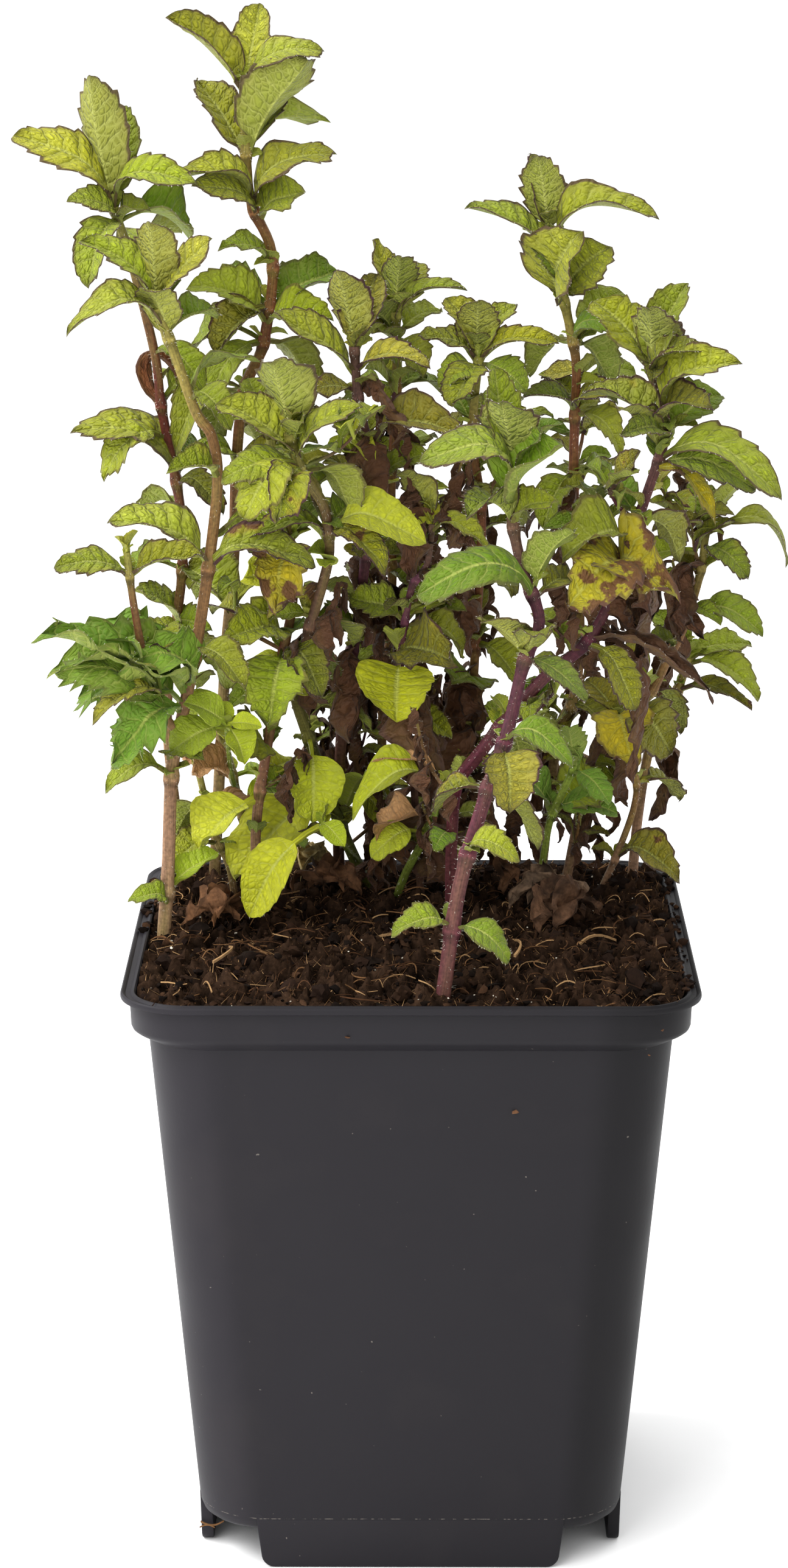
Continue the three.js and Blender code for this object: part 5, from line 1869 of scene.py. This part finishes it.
SHOOTS = [
    Shoot("shoot_tall_left", StemTone.TAN, (3.4, 2.4), "fffpffffgqqggq", fill=4,
          extra_tones="oggggfogfggg",
        route=[(-41, 43, 118), (-38, 36, 165), (-36, 32, 185), (-35, 26, 207), (-33, 20, 223),
         (-29, 16, 233), (-27, 12, 250), (-31, 10, 261), (-32, 9, 273), (-32, 8, 283)],
        leaves=[(282, -14, -3, 16, 0.05, 0.42), (283, 3, 4, 16, 0, 0.45), (283, 15, -4, 9, 0.18, 0.36),
         (270, 11, -9, 19, 0.05, 0.52), (270, -11, 7, 14, 0.05, 0.5), (270, 5, 10, 12, 0.05, 0.5),
         (259, 16, -2, 12, 0.28, 0.5), (259, -16, -6, 8, 0.3, 0.42), (248, -8, -4, 4, 0.2, 0.5),
         (239, 14, 5, 7, 0.12, 0.55), (240, -12, 6, 4, 0.12, 0.55), (233, -12, -8, -10, 0.2, 0.4),
         (233, 10, 9, -11, 0.2, 0.5), (223, -7, 6, -11, 0.2, 0.5)],
        extra=[(240, -10, -6, -8, 0.2, 0.6, 0.9), (233, -15, 4, -2, 0.3, 0.6, 0.6),
         (223, -13, -9, -10, 0.4, 0.42, 0.6), (223, 9, -7, -8, 0.3, 0.5, 0.6),
         (206, -10, -8, 4, 0.3, 0.5, 0.6), (205, 12, -6, 3, 0.3, 0.45, 0.6),
         (190, 9, -8, -6, 0.3, 0.5, 0.6), (186, -8, -9, -3, 0.3, 0.5, 0.6),
         (258, -12, -9, 7, 0.2, 0.45, 0.9), (257, 9, -7, 7, 0.15, 0.7, 0.9),
         (236, -15, -5, 9, 0.2, 0.5, 0.9), (236, 13, -6, 3, 0.25, 0.55, 0.9)]),
    Shoot("shoot_left_high", StemTone.OLIVE, (3, 2.3), "pgffqffqcgqg", fill=4, extra_tones="ggoggggf",
        route=[(-47, 39, 118), (-50, 35, 151), (-48, 29, 171), (-46, 25, 186), (-46, 20, 200),
         (-49, 14, 220), (-50, 9, 232), (-54, 3, 251), (-57, 0, 261)],
        leaves=[(260, -5, -6, 26, 0, 0.36), (260, 1, 8, 21, 0, 0.4), (261, -19, -3, 13, 0.2, 0.4),
         (260, 16, -7, 6, 0.35, 0.42), (258, 12, 5, -4, 0.3, 0.7), (258, -5, -10, -10, 0.25, 0.5),
         (205, -20, -6, 13, 0.25, 0.42), (205, 8, 9, 6, 0.2, 0.5), (220, -6, -5, 4, 0.35, 0.6),
         (221, 7, 8, 2, 0.3, 0.5), (186, -10, 5, -2, 0.2, 0.5), (185, 9, -8, -4, 0.2, 0.8)],
        extra=[(214, -13, -6, -6, 0.3, 0.55, 0.5), (232, 9, -7, -6, 0.3, 0.5, 0.6),
         (204, 9, -8, -3, 0.3, 0.5, 0.6), (171, 8, -7, 4, 0.3, 0.6, 0.6),
         (160, -8, -8, 3, 0.3, 0.6, 0.6), (171, -7, -9, 12, 0.2, 0.5, 0.9),
         (257, 6, -5, 5, 0.2, 0.6, 0.8), (258, -9, -6, 5, 0.2, 0.5, 0.9)]),
    Shoot("shoot_left_front", StemTone.BROWN, (3.8, 2.4), "pffqfqffbbggl", fill=3,
          extra_tones="grrrrgggg",
        route=[(-49, -2, 118), (-48, -2, 131), (-47, -4, 150), (-45, -6, 161), (-42, -8, 175),
         (-39, -11, 193), (-37, -12, 210), (-38, -13, 219), (-41, -14, 224), (-45, -16, 236),
         (-48, -18, 244)],
        leaves=[(243, -1, -5, 19, 0, 0.42), (243, -13, -3, 16, 0.12, 0.4),
         (243, 11, -3, 14, 0.1, 0.42), (244, 3, 7, 10, 0, 0.5), (240, -18, -4, 0, 0.38, 0.42),
         (239, 8, 6, 2, 0.2, 0.5), (238, -3, -9, 11, 0.1, 0.5), (193, -19, -4, 10, 0.2, 0.42),
         (193, 21, -6, 5, 0.2, 0.35), (175, -11, -3, 2, 0.12, 0.5), (175, 8, 7, -7, 0.2, 0.6),
         (150, -11, -3, -1, 0.35, 0.5), (126, 8, 5, 6, 0.1, 0.45)],
        extra=[(123, -7, -4, 3, 0.4, 0.55, 0.9), (167, -17, -9, 3, 0.3, 0.6, 0.9),
         (165, -20, 3, 5, 0.3, 0.6, 0.9), (164, -12, -10, -7, 0.3, 0.6, 0.9),
         (168, -11, -8, 12, 0.3, 0.6, 0.9), (152, 7, -8, 5, 0.3, 0.6, 0.7),
         (226, 9, -8, -3, 0.3, 0.5, 0.7), (210, -9, -7, 3, 0.25, 0.5, 0.7),
         (176, 9, -8, -5, 0.3, 0.5, 0.7)]),
    Shoot("shoot_left_front", StemTone.OLIVE, (2.2, 1.9), "ffrrrprg", branch=True, extra_tones="rr",
        route=[(-45, -6, 159), (-48, -9, 164), (-51, -13, 174), (-53, -17, 187), (-54, -20, 198)],
        leaves=[(193, -13, -3, 3, 0.15, 0.42), (193, 13, -3, 4, 0.12, 0.4),
         (166, -21, -5, 10, 0.35, 0.5), (166, -15, 2, 17, 0.25, 0.55), (167, -7, 8, 15, 0.15, 0.6),
         (165, -13, -9, 2, 0.35, 0.42), (165, -7, 2, -6, 0.3, 0.5), (175, 5, 5, 6, 0.1, 0.6)],
        extra=[(166, -22, -8, 20, 0.15, 0.36, 0.9), (164, -20, -9, 13, 0.2, 0.38, 0.9)]),
    Shoot("shoot_middle_left", StemTone.BROWN_OLIVE, (3.2, 2.4), "fqffggblbqydglll", fill=3, bush=0.7,
          extra_tones="gb",
        route=[(-9, 34, 118), (-14, 28, 131), (-20, 16, 152), (-23, 8, 164), (-22, 3, 170),
         (-20, -2, 179), (-16, -9, 194), (-16, -14, 202), (-17, -17, 207), (-21, -20, 214),
         (-23, -22, 221)],
        leaves=[(220, -4, -6, 16, 0.05, 0.62), (220, 2, 7, 11, 0, 0.5), (214, 12, -4, 13, 0.22, 0.42),
         (214, -15, -3, 15, 0.08, 0.42), (213, 8, 5, -8, 0.3, 0.7), (213, -15, -6, 1, 0.2, 0.5),
         (213, -4, -10, -5, 0.25, 0.6), (196, 18, -7, 2, 0.45, 0.5), (196, -15, -7, 5, 0.3, 0.32),
         (201, 6, 9, 2, 0.2, 0.5), (180, -6, -6, 8, 0.3, 0.6), (179, -6, -5, -10, 0.2, 0.4),
         (180, 8, 8, -5, 0.2, 0.5), (154, 2, -8, -15, 0.2, 0.62), (140, -17, -12, -15, 0.15, 0.5),
         (132, 5, -4, 12, 0.1, 0.6)],
        extra=[(215, -9, -9, -9, 0.3, 0.6, 0.6), (200, 10, -9, -5, 0.3, 0.5, 0.6)]),
    Shoot("shoot_middle_left", StemTone.GREEN, (1.4, 1.0), "l", branch=True, extra_tones="ll",
        route=[(-11, 31, 124), (-14, 18, 131), (-18, 5, 138)],
        extra=[(138, -15, -7, -15, 0.15, 0.42, 0.9), (138, 5, -7, -2, 0.2, 0.5, 0.9)]),
    Shoot("shoot_middle_olive", StemTone.OLIVE, (3, 2.4), "gggyqgqllg", fill=2, bush=0.7,
          extra_tones="gggoglg",
        route=[(-30, 8, 118), (-31, 8, 136), (-28, 5, 157), (-25, 3, 174), (-23, 1, 186),
         (-24, -1, 198), (-27, -3, 217)],
        leaves=[(216, -10, -3, 8, 0.15, 0.5), (216, -5, 4, 12, 0.05, 0.5), (216, 3, 8, 10, 0, 0.5),
         (196, -8, -6, -5, 0.2, 0.8), (196, 6, 8, 6, 0.1, 0.5), (174, -8, -7, -11, 0.2, 0.75),
         (174, 8, 9, -7, 0.2, 0.6), (143, -10, -6, -8, 0.15, 0.7), (145, 8, 8, 3, 0.2, 0.6),
         (165, -7, 6, 1, 0.2, 0.6)],
        extra=[(152, -8, -11, 8, 0.15, 0.7, 0.9), (216, 9, -7, 2, 0.2, 0.5, 0.7),
         (196, -12, -7, 4, 0.3, 0.5, 0.7), (174, 8, -9, -6, 0.3, 0.6, 0.7),
         (164, -9, -8, 2, 0.3, 0.6, 0.7), (186, -9, -9, 5, 0.2, 0.75, 0.9),
         (176, -12, -11, 4, 0.2, 0.6, 0.9)]),
    Shoot("shoot_centre_purple", StemTone.DEEP_PURPLE, (3.4, 2.4), "vvfvdoogodgdglg", fill=3, bush=1.5,
          extra_tones="ddg",
        route=[(-15, 42, 118), (-15, 35, 134), (-14, 25, 155), (-13, 19, 166), (-11, 15, 175),
         (-9, 9, 191), (-7, 5, 201), (-7, 2, 209), (-10, -2, 223), (-11, -4, 235)],
        leaves=[(234, -3, -5, 16, 0.05, 0.5), (234, 3, 4, 14, 0.05, 0.5),
         (229, -16, -5, 13, 0.08, 0.38), (230, 14, -6, 4, 0.15, 0.4), (225, 6, -4, 4, 0.2, 0.7),
         (214, 19, -8, 6, 0.25, 0.45), (213, -6, 6, 4, 0.1, 0.5), (206, 9, -2, 7, 0.15, 0.45),
         (206, -8, 3, 9, 0.12, 0.5), (191, -5, 8, -9, 0.2, 0.6), (192, 5, 8, 5, 0.2, 0.5),
         (171, -5, -8, -5, 0.3, 0.6), (166, 7, 9, 4, 0.2, 0.5), (140, 7, -3, -6, 0.2, 0.6),
         (156, -8, 9, -1, 0.2, 0.5)],
        extra=[(166, 4, -14, 5, 0.2, 0.6, 0.9), (214, 5, -9, 3, 0.3, 0.9, 0.9),
         (175, -8, -9, 4, 0.2, 0.6, 0.9)]),
    Shoot("shoot_heart_thin", StemTone.PURPLE_BROWN, (2.2, 1.7), "fdggoggglgg", fill=2, bush=1.8,
          extra_tones="ddddod",
        route=[(2, 28, 118), (0, 20, 149), (-2, 15, 159), (-2, 10, 172), (0, 5, 186), (3, 3, 191),
         (4, 0, 200)],
        leaves=[(199, -6, -4, 12, 0.12, 0.45), (199, 4, -3, 9, 0.1, 0.45), (198, 9, -5, -1, 0.3, 0.4),
         (198, -8, 4, -4, 0.2, 0.5), (188, -7, -3, 6, 0.25, 0.5), (179, -7, 5, 4, 0.12, 0.7),
         (179, 6, 8, 3, 0.1, 0.7), (178, 11, 4, -5, 0.2, 0.5), (171, -4, -9, -9, 0.12, 0.95),
         (158, 8, -5, -2, 0.2, 0.4), (150, -8, 6, 2, 0.2, 0.5)],
        extra=[(200, -8, -7, 2, 0.25, 0.8, 0.9), (159, 7, -14, 9, 0.2, 0.6, 0.9),
         (135, 6, -12, 6, 0.2, 0.8, 0.9), (142, -6, -12, -6, 0.2, 0.6, 0.9),
         (170, 10, -11, 4, 0.2, 0.8, 0.9), (160, 10, -15, 4, 0.2, 0.7, 0.9)]),
    Shoot("shoot_front_purple", StemTone.HAIRY_PURPLE, (4, 2.6), "hgqghhgqqopphqvooggq", fill=2,
          extra_tones="q",
        route=[(6, -46, 118), (9, -46, 139), (14, -42, 156), (18, -38, 167), (21, -34, 179),
         (24, -32, 187), (21, -30, 196), (19, -28, 205), (19, -27, 213)],
        leaves=[(212, -1, -6, 18, 0.05, 0.58), (212, -5, 2, 22, 0.05, 0.36),
         (212, 8, -3, 13, 0.08, 0.5), (212, 4, 8, 10, 0.05, 0.5), (211, -17, -7, 6, 0.4, 0.5),
         (204, -7, -8, 5, 0.25, 0.65), (204, 6, -3, 5, 0.2, 0.6), (191, -22, -7, 4, 0.32, 0.45),
         (192, 6, -4, 13, 0.1, 0.5), (191, 8, 8, 1, 0.2, 0.5), (180, -8, -6, 8, 0.15, 0.7),
         (180, 4, -8, 6, 0.2, 0.6), (180, 9, -4, -6, 0.2, 0.42), (165, 12, -6, -1, 0.35, 0.45),
         (164, 2, -7, -8, 0.2, 0.8), (157, 8, 4, -11, 0.15, 0.34), (157, -8, 6, -5, 0.2, 0.4),
         (145, 7, -4, 1, 0.35, 0.5), (131, -9, -3, 1, 0.25, 0.55), (131, 9, -3, -3, 0.25, 0.5)],
        extra=[(207, 9, -6, 14, 0.15, 0.8, 0.9)]),
    Shoot("shoot_right_arch", StemTone.VIVID_PURPLE, (3.4, 2.5), "gghgfqhpfygddqodogq", fill=3, bush=1.0,
          extra_tones="hvyydwohh",
        route=[(8, 8, 118), (8, -2, 137), (9, -9, 150), (13, -14, 157), (17, -17, 163), (26, -19, 174),
         (33, -20, 180), (38, -20, 189), (41, -20, 199), (45, -18, 210), (48, -15, 220),
         (46, -11, 230)],
        leaves=[(229, -10, 3, 18, 0.05, 0.5), (229, 5, 3, 20, 0.1, 0.4), (229, -3, -5, 16, 0.05, 0.6),
         (228, 2, 6, 11, 0, 0.5), (222, 14, -6, 13, 0.28, 0.5), (219, 11, 4, 8, 0.1, 0.6),
         (220, -15, 5, 9, 0.12, 0.42), (217, -10, -9, 10, 0.12, 0.36), (215, 23, -6, -5, 0.3, 0.36),
         (213, 10, -4, -3, 0.25, 0.4), (199, -12, -6, 0, 0.3, 0.8), (199, 6, -6, 0, 0.3, 0.8),
         (197, -5, -6, -9, 0.1, 0.6), (204, -6, 6, 6, 0.1, 0.5), (204, 9, 6, -7, 0.2, 0.5),
         (181, 24, -5, -4, 0.12, 0.16), (180, 9, -6, -10, 0.25, 0.45), (178, -6, 6, 6, 0.2, 0.5),
         (163, 5, 6, -10, 0.2, 0.5)],
        extra=[(228, 9, -6, 9, 0.3, 0.5, 0.7), (220, 8, -10, 7, 0.25, 0.6, 0.7),
         (193, -10, -13, 4, 0.3, 0.95, 0.9), (193, 9, -12, 4, 0.3, 0.9, 0.9),
         (193, 14, 6, -4, 0.2, 0.6, 0.6), (181, 24, -8, -2, 0.12, 0.22, 0.9),
         (157, 9, -3, -9, 0.2, 0.7, 0.9), (218, -9, -8, 5, 0.2, 0.5, 0.9),
         (214, 18, -4, -4, 0.25, 0.42, 0.9)]),
    Shoot("shoot_right_tall", StemTone.TAN, (3, 2.4), "fvffffgqgghgqodog", fill=4, bush=1.8,
          extra_tones="ddfqqvf",
        route=[(27, 41, 118), (30, 35, 149), (33, 30, 158), (34, 26, 171), (33, 20, 191),
         (32, 15, 207), (32, 12, 220), (32, 9, 230), (30, 7, 240), (26, 5, 256)],
        leaves=[(255, -1, -4, 16, 0, 0.48), (255, -4, 4, 16, 0.05, 0.4), (250, -17, -4, 13, 0.1, 0.3),
         (252, 20, -5, 9, 0.3, 0.36), (242, 1, -10, 16, 0.1, 0.75), (242, -6, 7, 9, 0.1, 0.5),
         (234, 10, 4, 10, 0.1, 0.5), (234, 6, 4, -7, 0.2, 0.6), (234, -7, 6, -6, 0.2, 0.5),
         (219, 8, -4, -4, 0.25, 0.5), (219, -8, -5, 4, 0.2, 0.5), (207, -5, -6, -7, 0.2, 0.5),
         (207, 8, 8, -4, 0.2, 0.5), (191, 6, 8, 3, 0.2, 0.5), (191, -6, 6, -5, 0.2, 0.5),
         (157, 5, -6, -3, 0.2, 0.5), (154, -7, 7, 1, 0.2, 0.5)],
        extra=[(205, -3, -12, -2, 0.2, 0.7, 0.9), (180, 6, -10, -5, 0.2, 0.6, 0.9),
         (244, 3, -10, 13, 0.2, 0.8, 1.6), (243, -7, -4, 12, 0.15, 0.6, 0.9),
         (234, 9, -7, 5, 0.25, 0.5, 0.7), (219, 9, -7, 6, 0.25, 0.5, 0.7),
         (243, 8, -6, 12, 0.1, 0.7, 1.6)]),
    Shoot("shoot_right_brown", StemTone.BROWN, (2.8, 2.1), "gggohddgggo", fill=2, bush=1.8,
          extra_tones="dodg",
        route=[(32, 36, 118), (36, 28, 142), (41, 24, 152), (48, 17, 163), (51, 14, 170),
         (54, 12, 177), (57, 11, 188), (58, 10, 198)],
        leaves=[(197, 4, -3, 8, 0.05, 0.5), (197, -2, 4, 7, 0.05, 0.5), (196, 17, 3, -7, 0.42, 0.36),
         (196, -9, -4, 2, 0.2, 0.5), (193, 6, -6, -3, 0.2, 0.5), (189, -6, -5, -5, 0.3, 0.7),
         (189, 5, -2, -6, 0.35, 0.7), (180, 14, -4, -2, 0.2, 0.45), (180, -7, 7, 4, 0.2, 0.5),
         (163, -6, 6, 5, 0.2, 0.5), (163, 5, 5, -7, 0.2, 0.5)],
        extra=[(189, -10, -10, -2, 0.2, 0.6, 0.9), (170, -8, -10, 3, 0.2, 0.7, 0.9),
         (152, 8, -9, -3, 0.3, 0.6, 0.9), (180, 5, -8, -1, 0.25, 0.45, 0.9)]),
    Shoot("shoot_right_outer", StemTone.BROWN, (3, 2.3), "gggogd", fill=2,
        route=[(46, 40, 118), (47, 40, 131), (49, 36, 147), (52, 32, 155), (54, 29, 160),
         (56, 26, 168)],
        leaves=[(166, 13, -5, -6, 0.3, 0.42), (167, 11, 3, 3, 0.15, 0.5), (167, -5, 4, 8, 0.1, 0.5),
         (160, 14, -8, -1, 0.2, 0.28), (159, -6, 8, 2, 0.2, 0.5), (148, 6, 9, -7, 0.2, 0.5)]),
    Shoot("shoot_right_curved", StemTone.BROWN, (1.8, 1.7), "oogoo", extra_tones="y",
        route=[(39, 30, 118), (42, 25, 127), (45, 20, 138), (45, 15, 146), (42, 11, 153), (41, 9, 159)],
        leaves=[(158, 8, -5, -4, 0.45, 0.9), (158, -5, 4, 7, 0.1, 0.5), (158, 6, 6, 6, 0.1, 0.5),
         (126, 12, -5, -1, 0.3, 0.6), (144, 7, 8, -4, 0.2, 0.5)],
        extra=[(159, 1, -11, -3, 0.3, 0.95, 1.2)]),
    Shoot("shoot_right_bright", StemTone.GREEN, (2, 1.9), "nnnng",
        route=[(26, 28, 118), (28, 22, 134), (30, 17, 141), (33, 12, 149)],
        leaves=[(148, -1, -3, 7, 0.05, 0.5), (147, 5, -5, -3, 0.2, 0.5), (136, -8, -2, 10, 0.12, 0.5),
         (137, 11, -4, 1, 0.2, 0.5), (136, 11, 7, 7, 0.12, 0.9)]),
    Shoot("shoot_left_lime", StemTone.PALE, (2.2, 2.1), "mmmtml", fill=1,
        route=[(-34, 36, 118), (-34, 32, 127), (-35, 25, 138), (-38, 16, 155)],
        leaves=[(155, -7, -3, 6, 0.15, 0.6), (155, -8, -4, -2, 0.2, 0.6), (155, 4, -6, -3, 0.15, 0.6),
         (143, -8, -3, 5, 0.1, 0.6), (144, 6, 6, -3, 0.2, 0.5), (135, 7, 6, 3, 0.1, 0.5)]),
    Shoot("shoot_left_lime", StemTone.GREEN, (1.5, 1.1), "m", branch=True, extra_tones="mmmmmt",
        route=[(-35, 25, 138), (-36, 13, 147), (-36, 2, 154), (-36, -7, 161)],
        extra=[(161, -8, -3, 5, 0.15, 0.66, 1.0), (161, -10, -3, -5, 0.2, 0.72, 1.0),
         (161, 4, -3, -6, 0.2, 0.75, 1.0), (161, 7, -2, 1, 0.15, 0.5, 0.9),
         (160, 0, -3, 4, 0.1, 0.5, 0.9), (147, -8, -6, 3, 0.2, 0.8, 1.0)]),
    Shoot("shoot_left_pale", StemTone.PALE, (2, 1.9), "ggtg",
        route=[(-36, 24, 118), (-37, 20, 126), (-40, 16, 135), (-43, 11, 150)],
        leaves=[(150, 4, 5, 4, 0.1, 0.5), (139, -6, 4, -5, 0.2, 0.6), (137, 6, -3, 4, 0.2, 0.5),
         (131, -8, -3, -2, 0.2, 0.6)]),
    Shoot("shoot_centre_small", StemTone.GREEN, (2.2, 1.9), "ltglt",
        route=[(-3, 24, 118), (-1, 18, 125), (3, 10, 135), (6, 3, 146)],
        leaves=[(145, -18, -4, -1, 0.42, 0.5), (146, -13, -2, 9, 0.2, 0.22), (143, 6, 5, 2, 0.2, 0.5),
         (135, -8, -3, -3, 0.3, 0.6), (140, -10, 5, -6, 0.2, 0.6)]),
    Shoot("shoot_back_tall", StemTone.TAN, (2.8, 2.3), "ffffgqggqgod", fill=3, bush=1.8,
        route=[(-5, 44, 118), (-6, 36, 150), (-4, 30, 177), (-4, 22, 203), (-3, 15, 224),
         (-3, 10, 240)],
        leaves=[(238, -6, 2, 15, 0.05, 0.4), (239, 0, -5, 11, 0.05, 0.5), (239, 4, 6, 9, 0.05, 0.5),
         (238, 13, -3, 7, 0.22, 0.32), (234, 7, 3, 4, 0.2, 0.6), (234, -5, -6, 3, 0.2, 0.6),
         (234, 4, -6, -4, 0.2, 0.6), (224, -8, 5, -3, 0.2, 0.5), (224, 8, 8, -2, 0.2, 0.5),
         (208, 7, 8, 4, 0.2, 0.5), (207, -7, 9, 1, 0.2, 0.5), (186, 7, 8, -5, 0.2, 0.5)]),
    Shoot("shoot_back_middle", StemTone.TAN, (2.8, 2.3), "ffffofgqgogog", fill=3, bush=2.0,
          extra_tones="dddgdg",
        route=[(11, 42, 118), (12, 34, 144), (13, 28, 171), (14, 20, 197), (12, 12, 215), (13, 4, 232)],
        leaves=[(231, -5, 2, 12, 0.08, 0.5), (231, -1, -4, 12, 0.05, 0.55),
         (231, 6, 3, 10, 0.15, 0.45), (231, 15, -4, 4, 0.2, 0.3), (230, -10, -3, 5, 0.2, 0.42),
         (230, -3, -8, -5, 0.15, 0.6), (230, 6, -3, -3, 0.2, 0.6), (217, -6, 6, 6, 0.1, 0.5),
         (217, 8, 8, 4, 0.1, 0.5), (200, -7, 8, -5, 0.2, 0.5), (200, 8, 9, -4, 0.2, 0.5),
         (186, 7, 8, -5, 0.2, 0.5), (170, 6, -4, -4, 0.2, 0.6)],
        extra=[(186, -9, -12, -3, 0.2, 0.8, 0.9), (150, -2, -17, 7, 0.2, 0.7, 0.9),
         (140, 8, -10, 4, 0.2, 0.7, 0.9), (160, -4, -10, 4, 0.2, 0.9, 0.9),
         (165, -6, -9, -8, 0.2, 0.9, 0.9), (228, -8, -7, 0, 0.25, 0.6, 0.8)]),
]

# Name, place, heading in degrees, length, arch, plumpness and colour, as in the CAD frame
DRY_ROWS = [
    ("dry_leaf_tan", -20, 28, 20, 15, 0.2, 0.55, "#dcc48c"),
    ("dry_leaf_brown", -14, 14, 130, 12, 0.3, 0.8, "#6f4d34"),
    ("dry_leaf_grey", 24, 6, 40, 14, 0.3, 0.8, "#6d5744"),
    ("dry_leaf_back", 20, 36, 160, 13, 0.3, 0.7, "#6a4a33"),
    ("dry_leaf_left", -38, -4, 70, 12, 0.25, 0.7, "#7a5539"),
    ("dry_leaf_right", 34, 4, 60, 13, 0.3, 0.75, "#5f4431"),
]


def main() -> None:
    logging.basicConfig(level=logging.INFO, format="%(message)s")
    noise.seed_set(NOISE_SEED)
    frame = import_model()
    Studio().build()
    NurseryPot().build()
    SoilBed().build()
    DryLeaves(DRY_ROWS).build()
    MintPlant(SHOOTS).build(frame["nodes"])


if __name__ == "__main__":
    main()
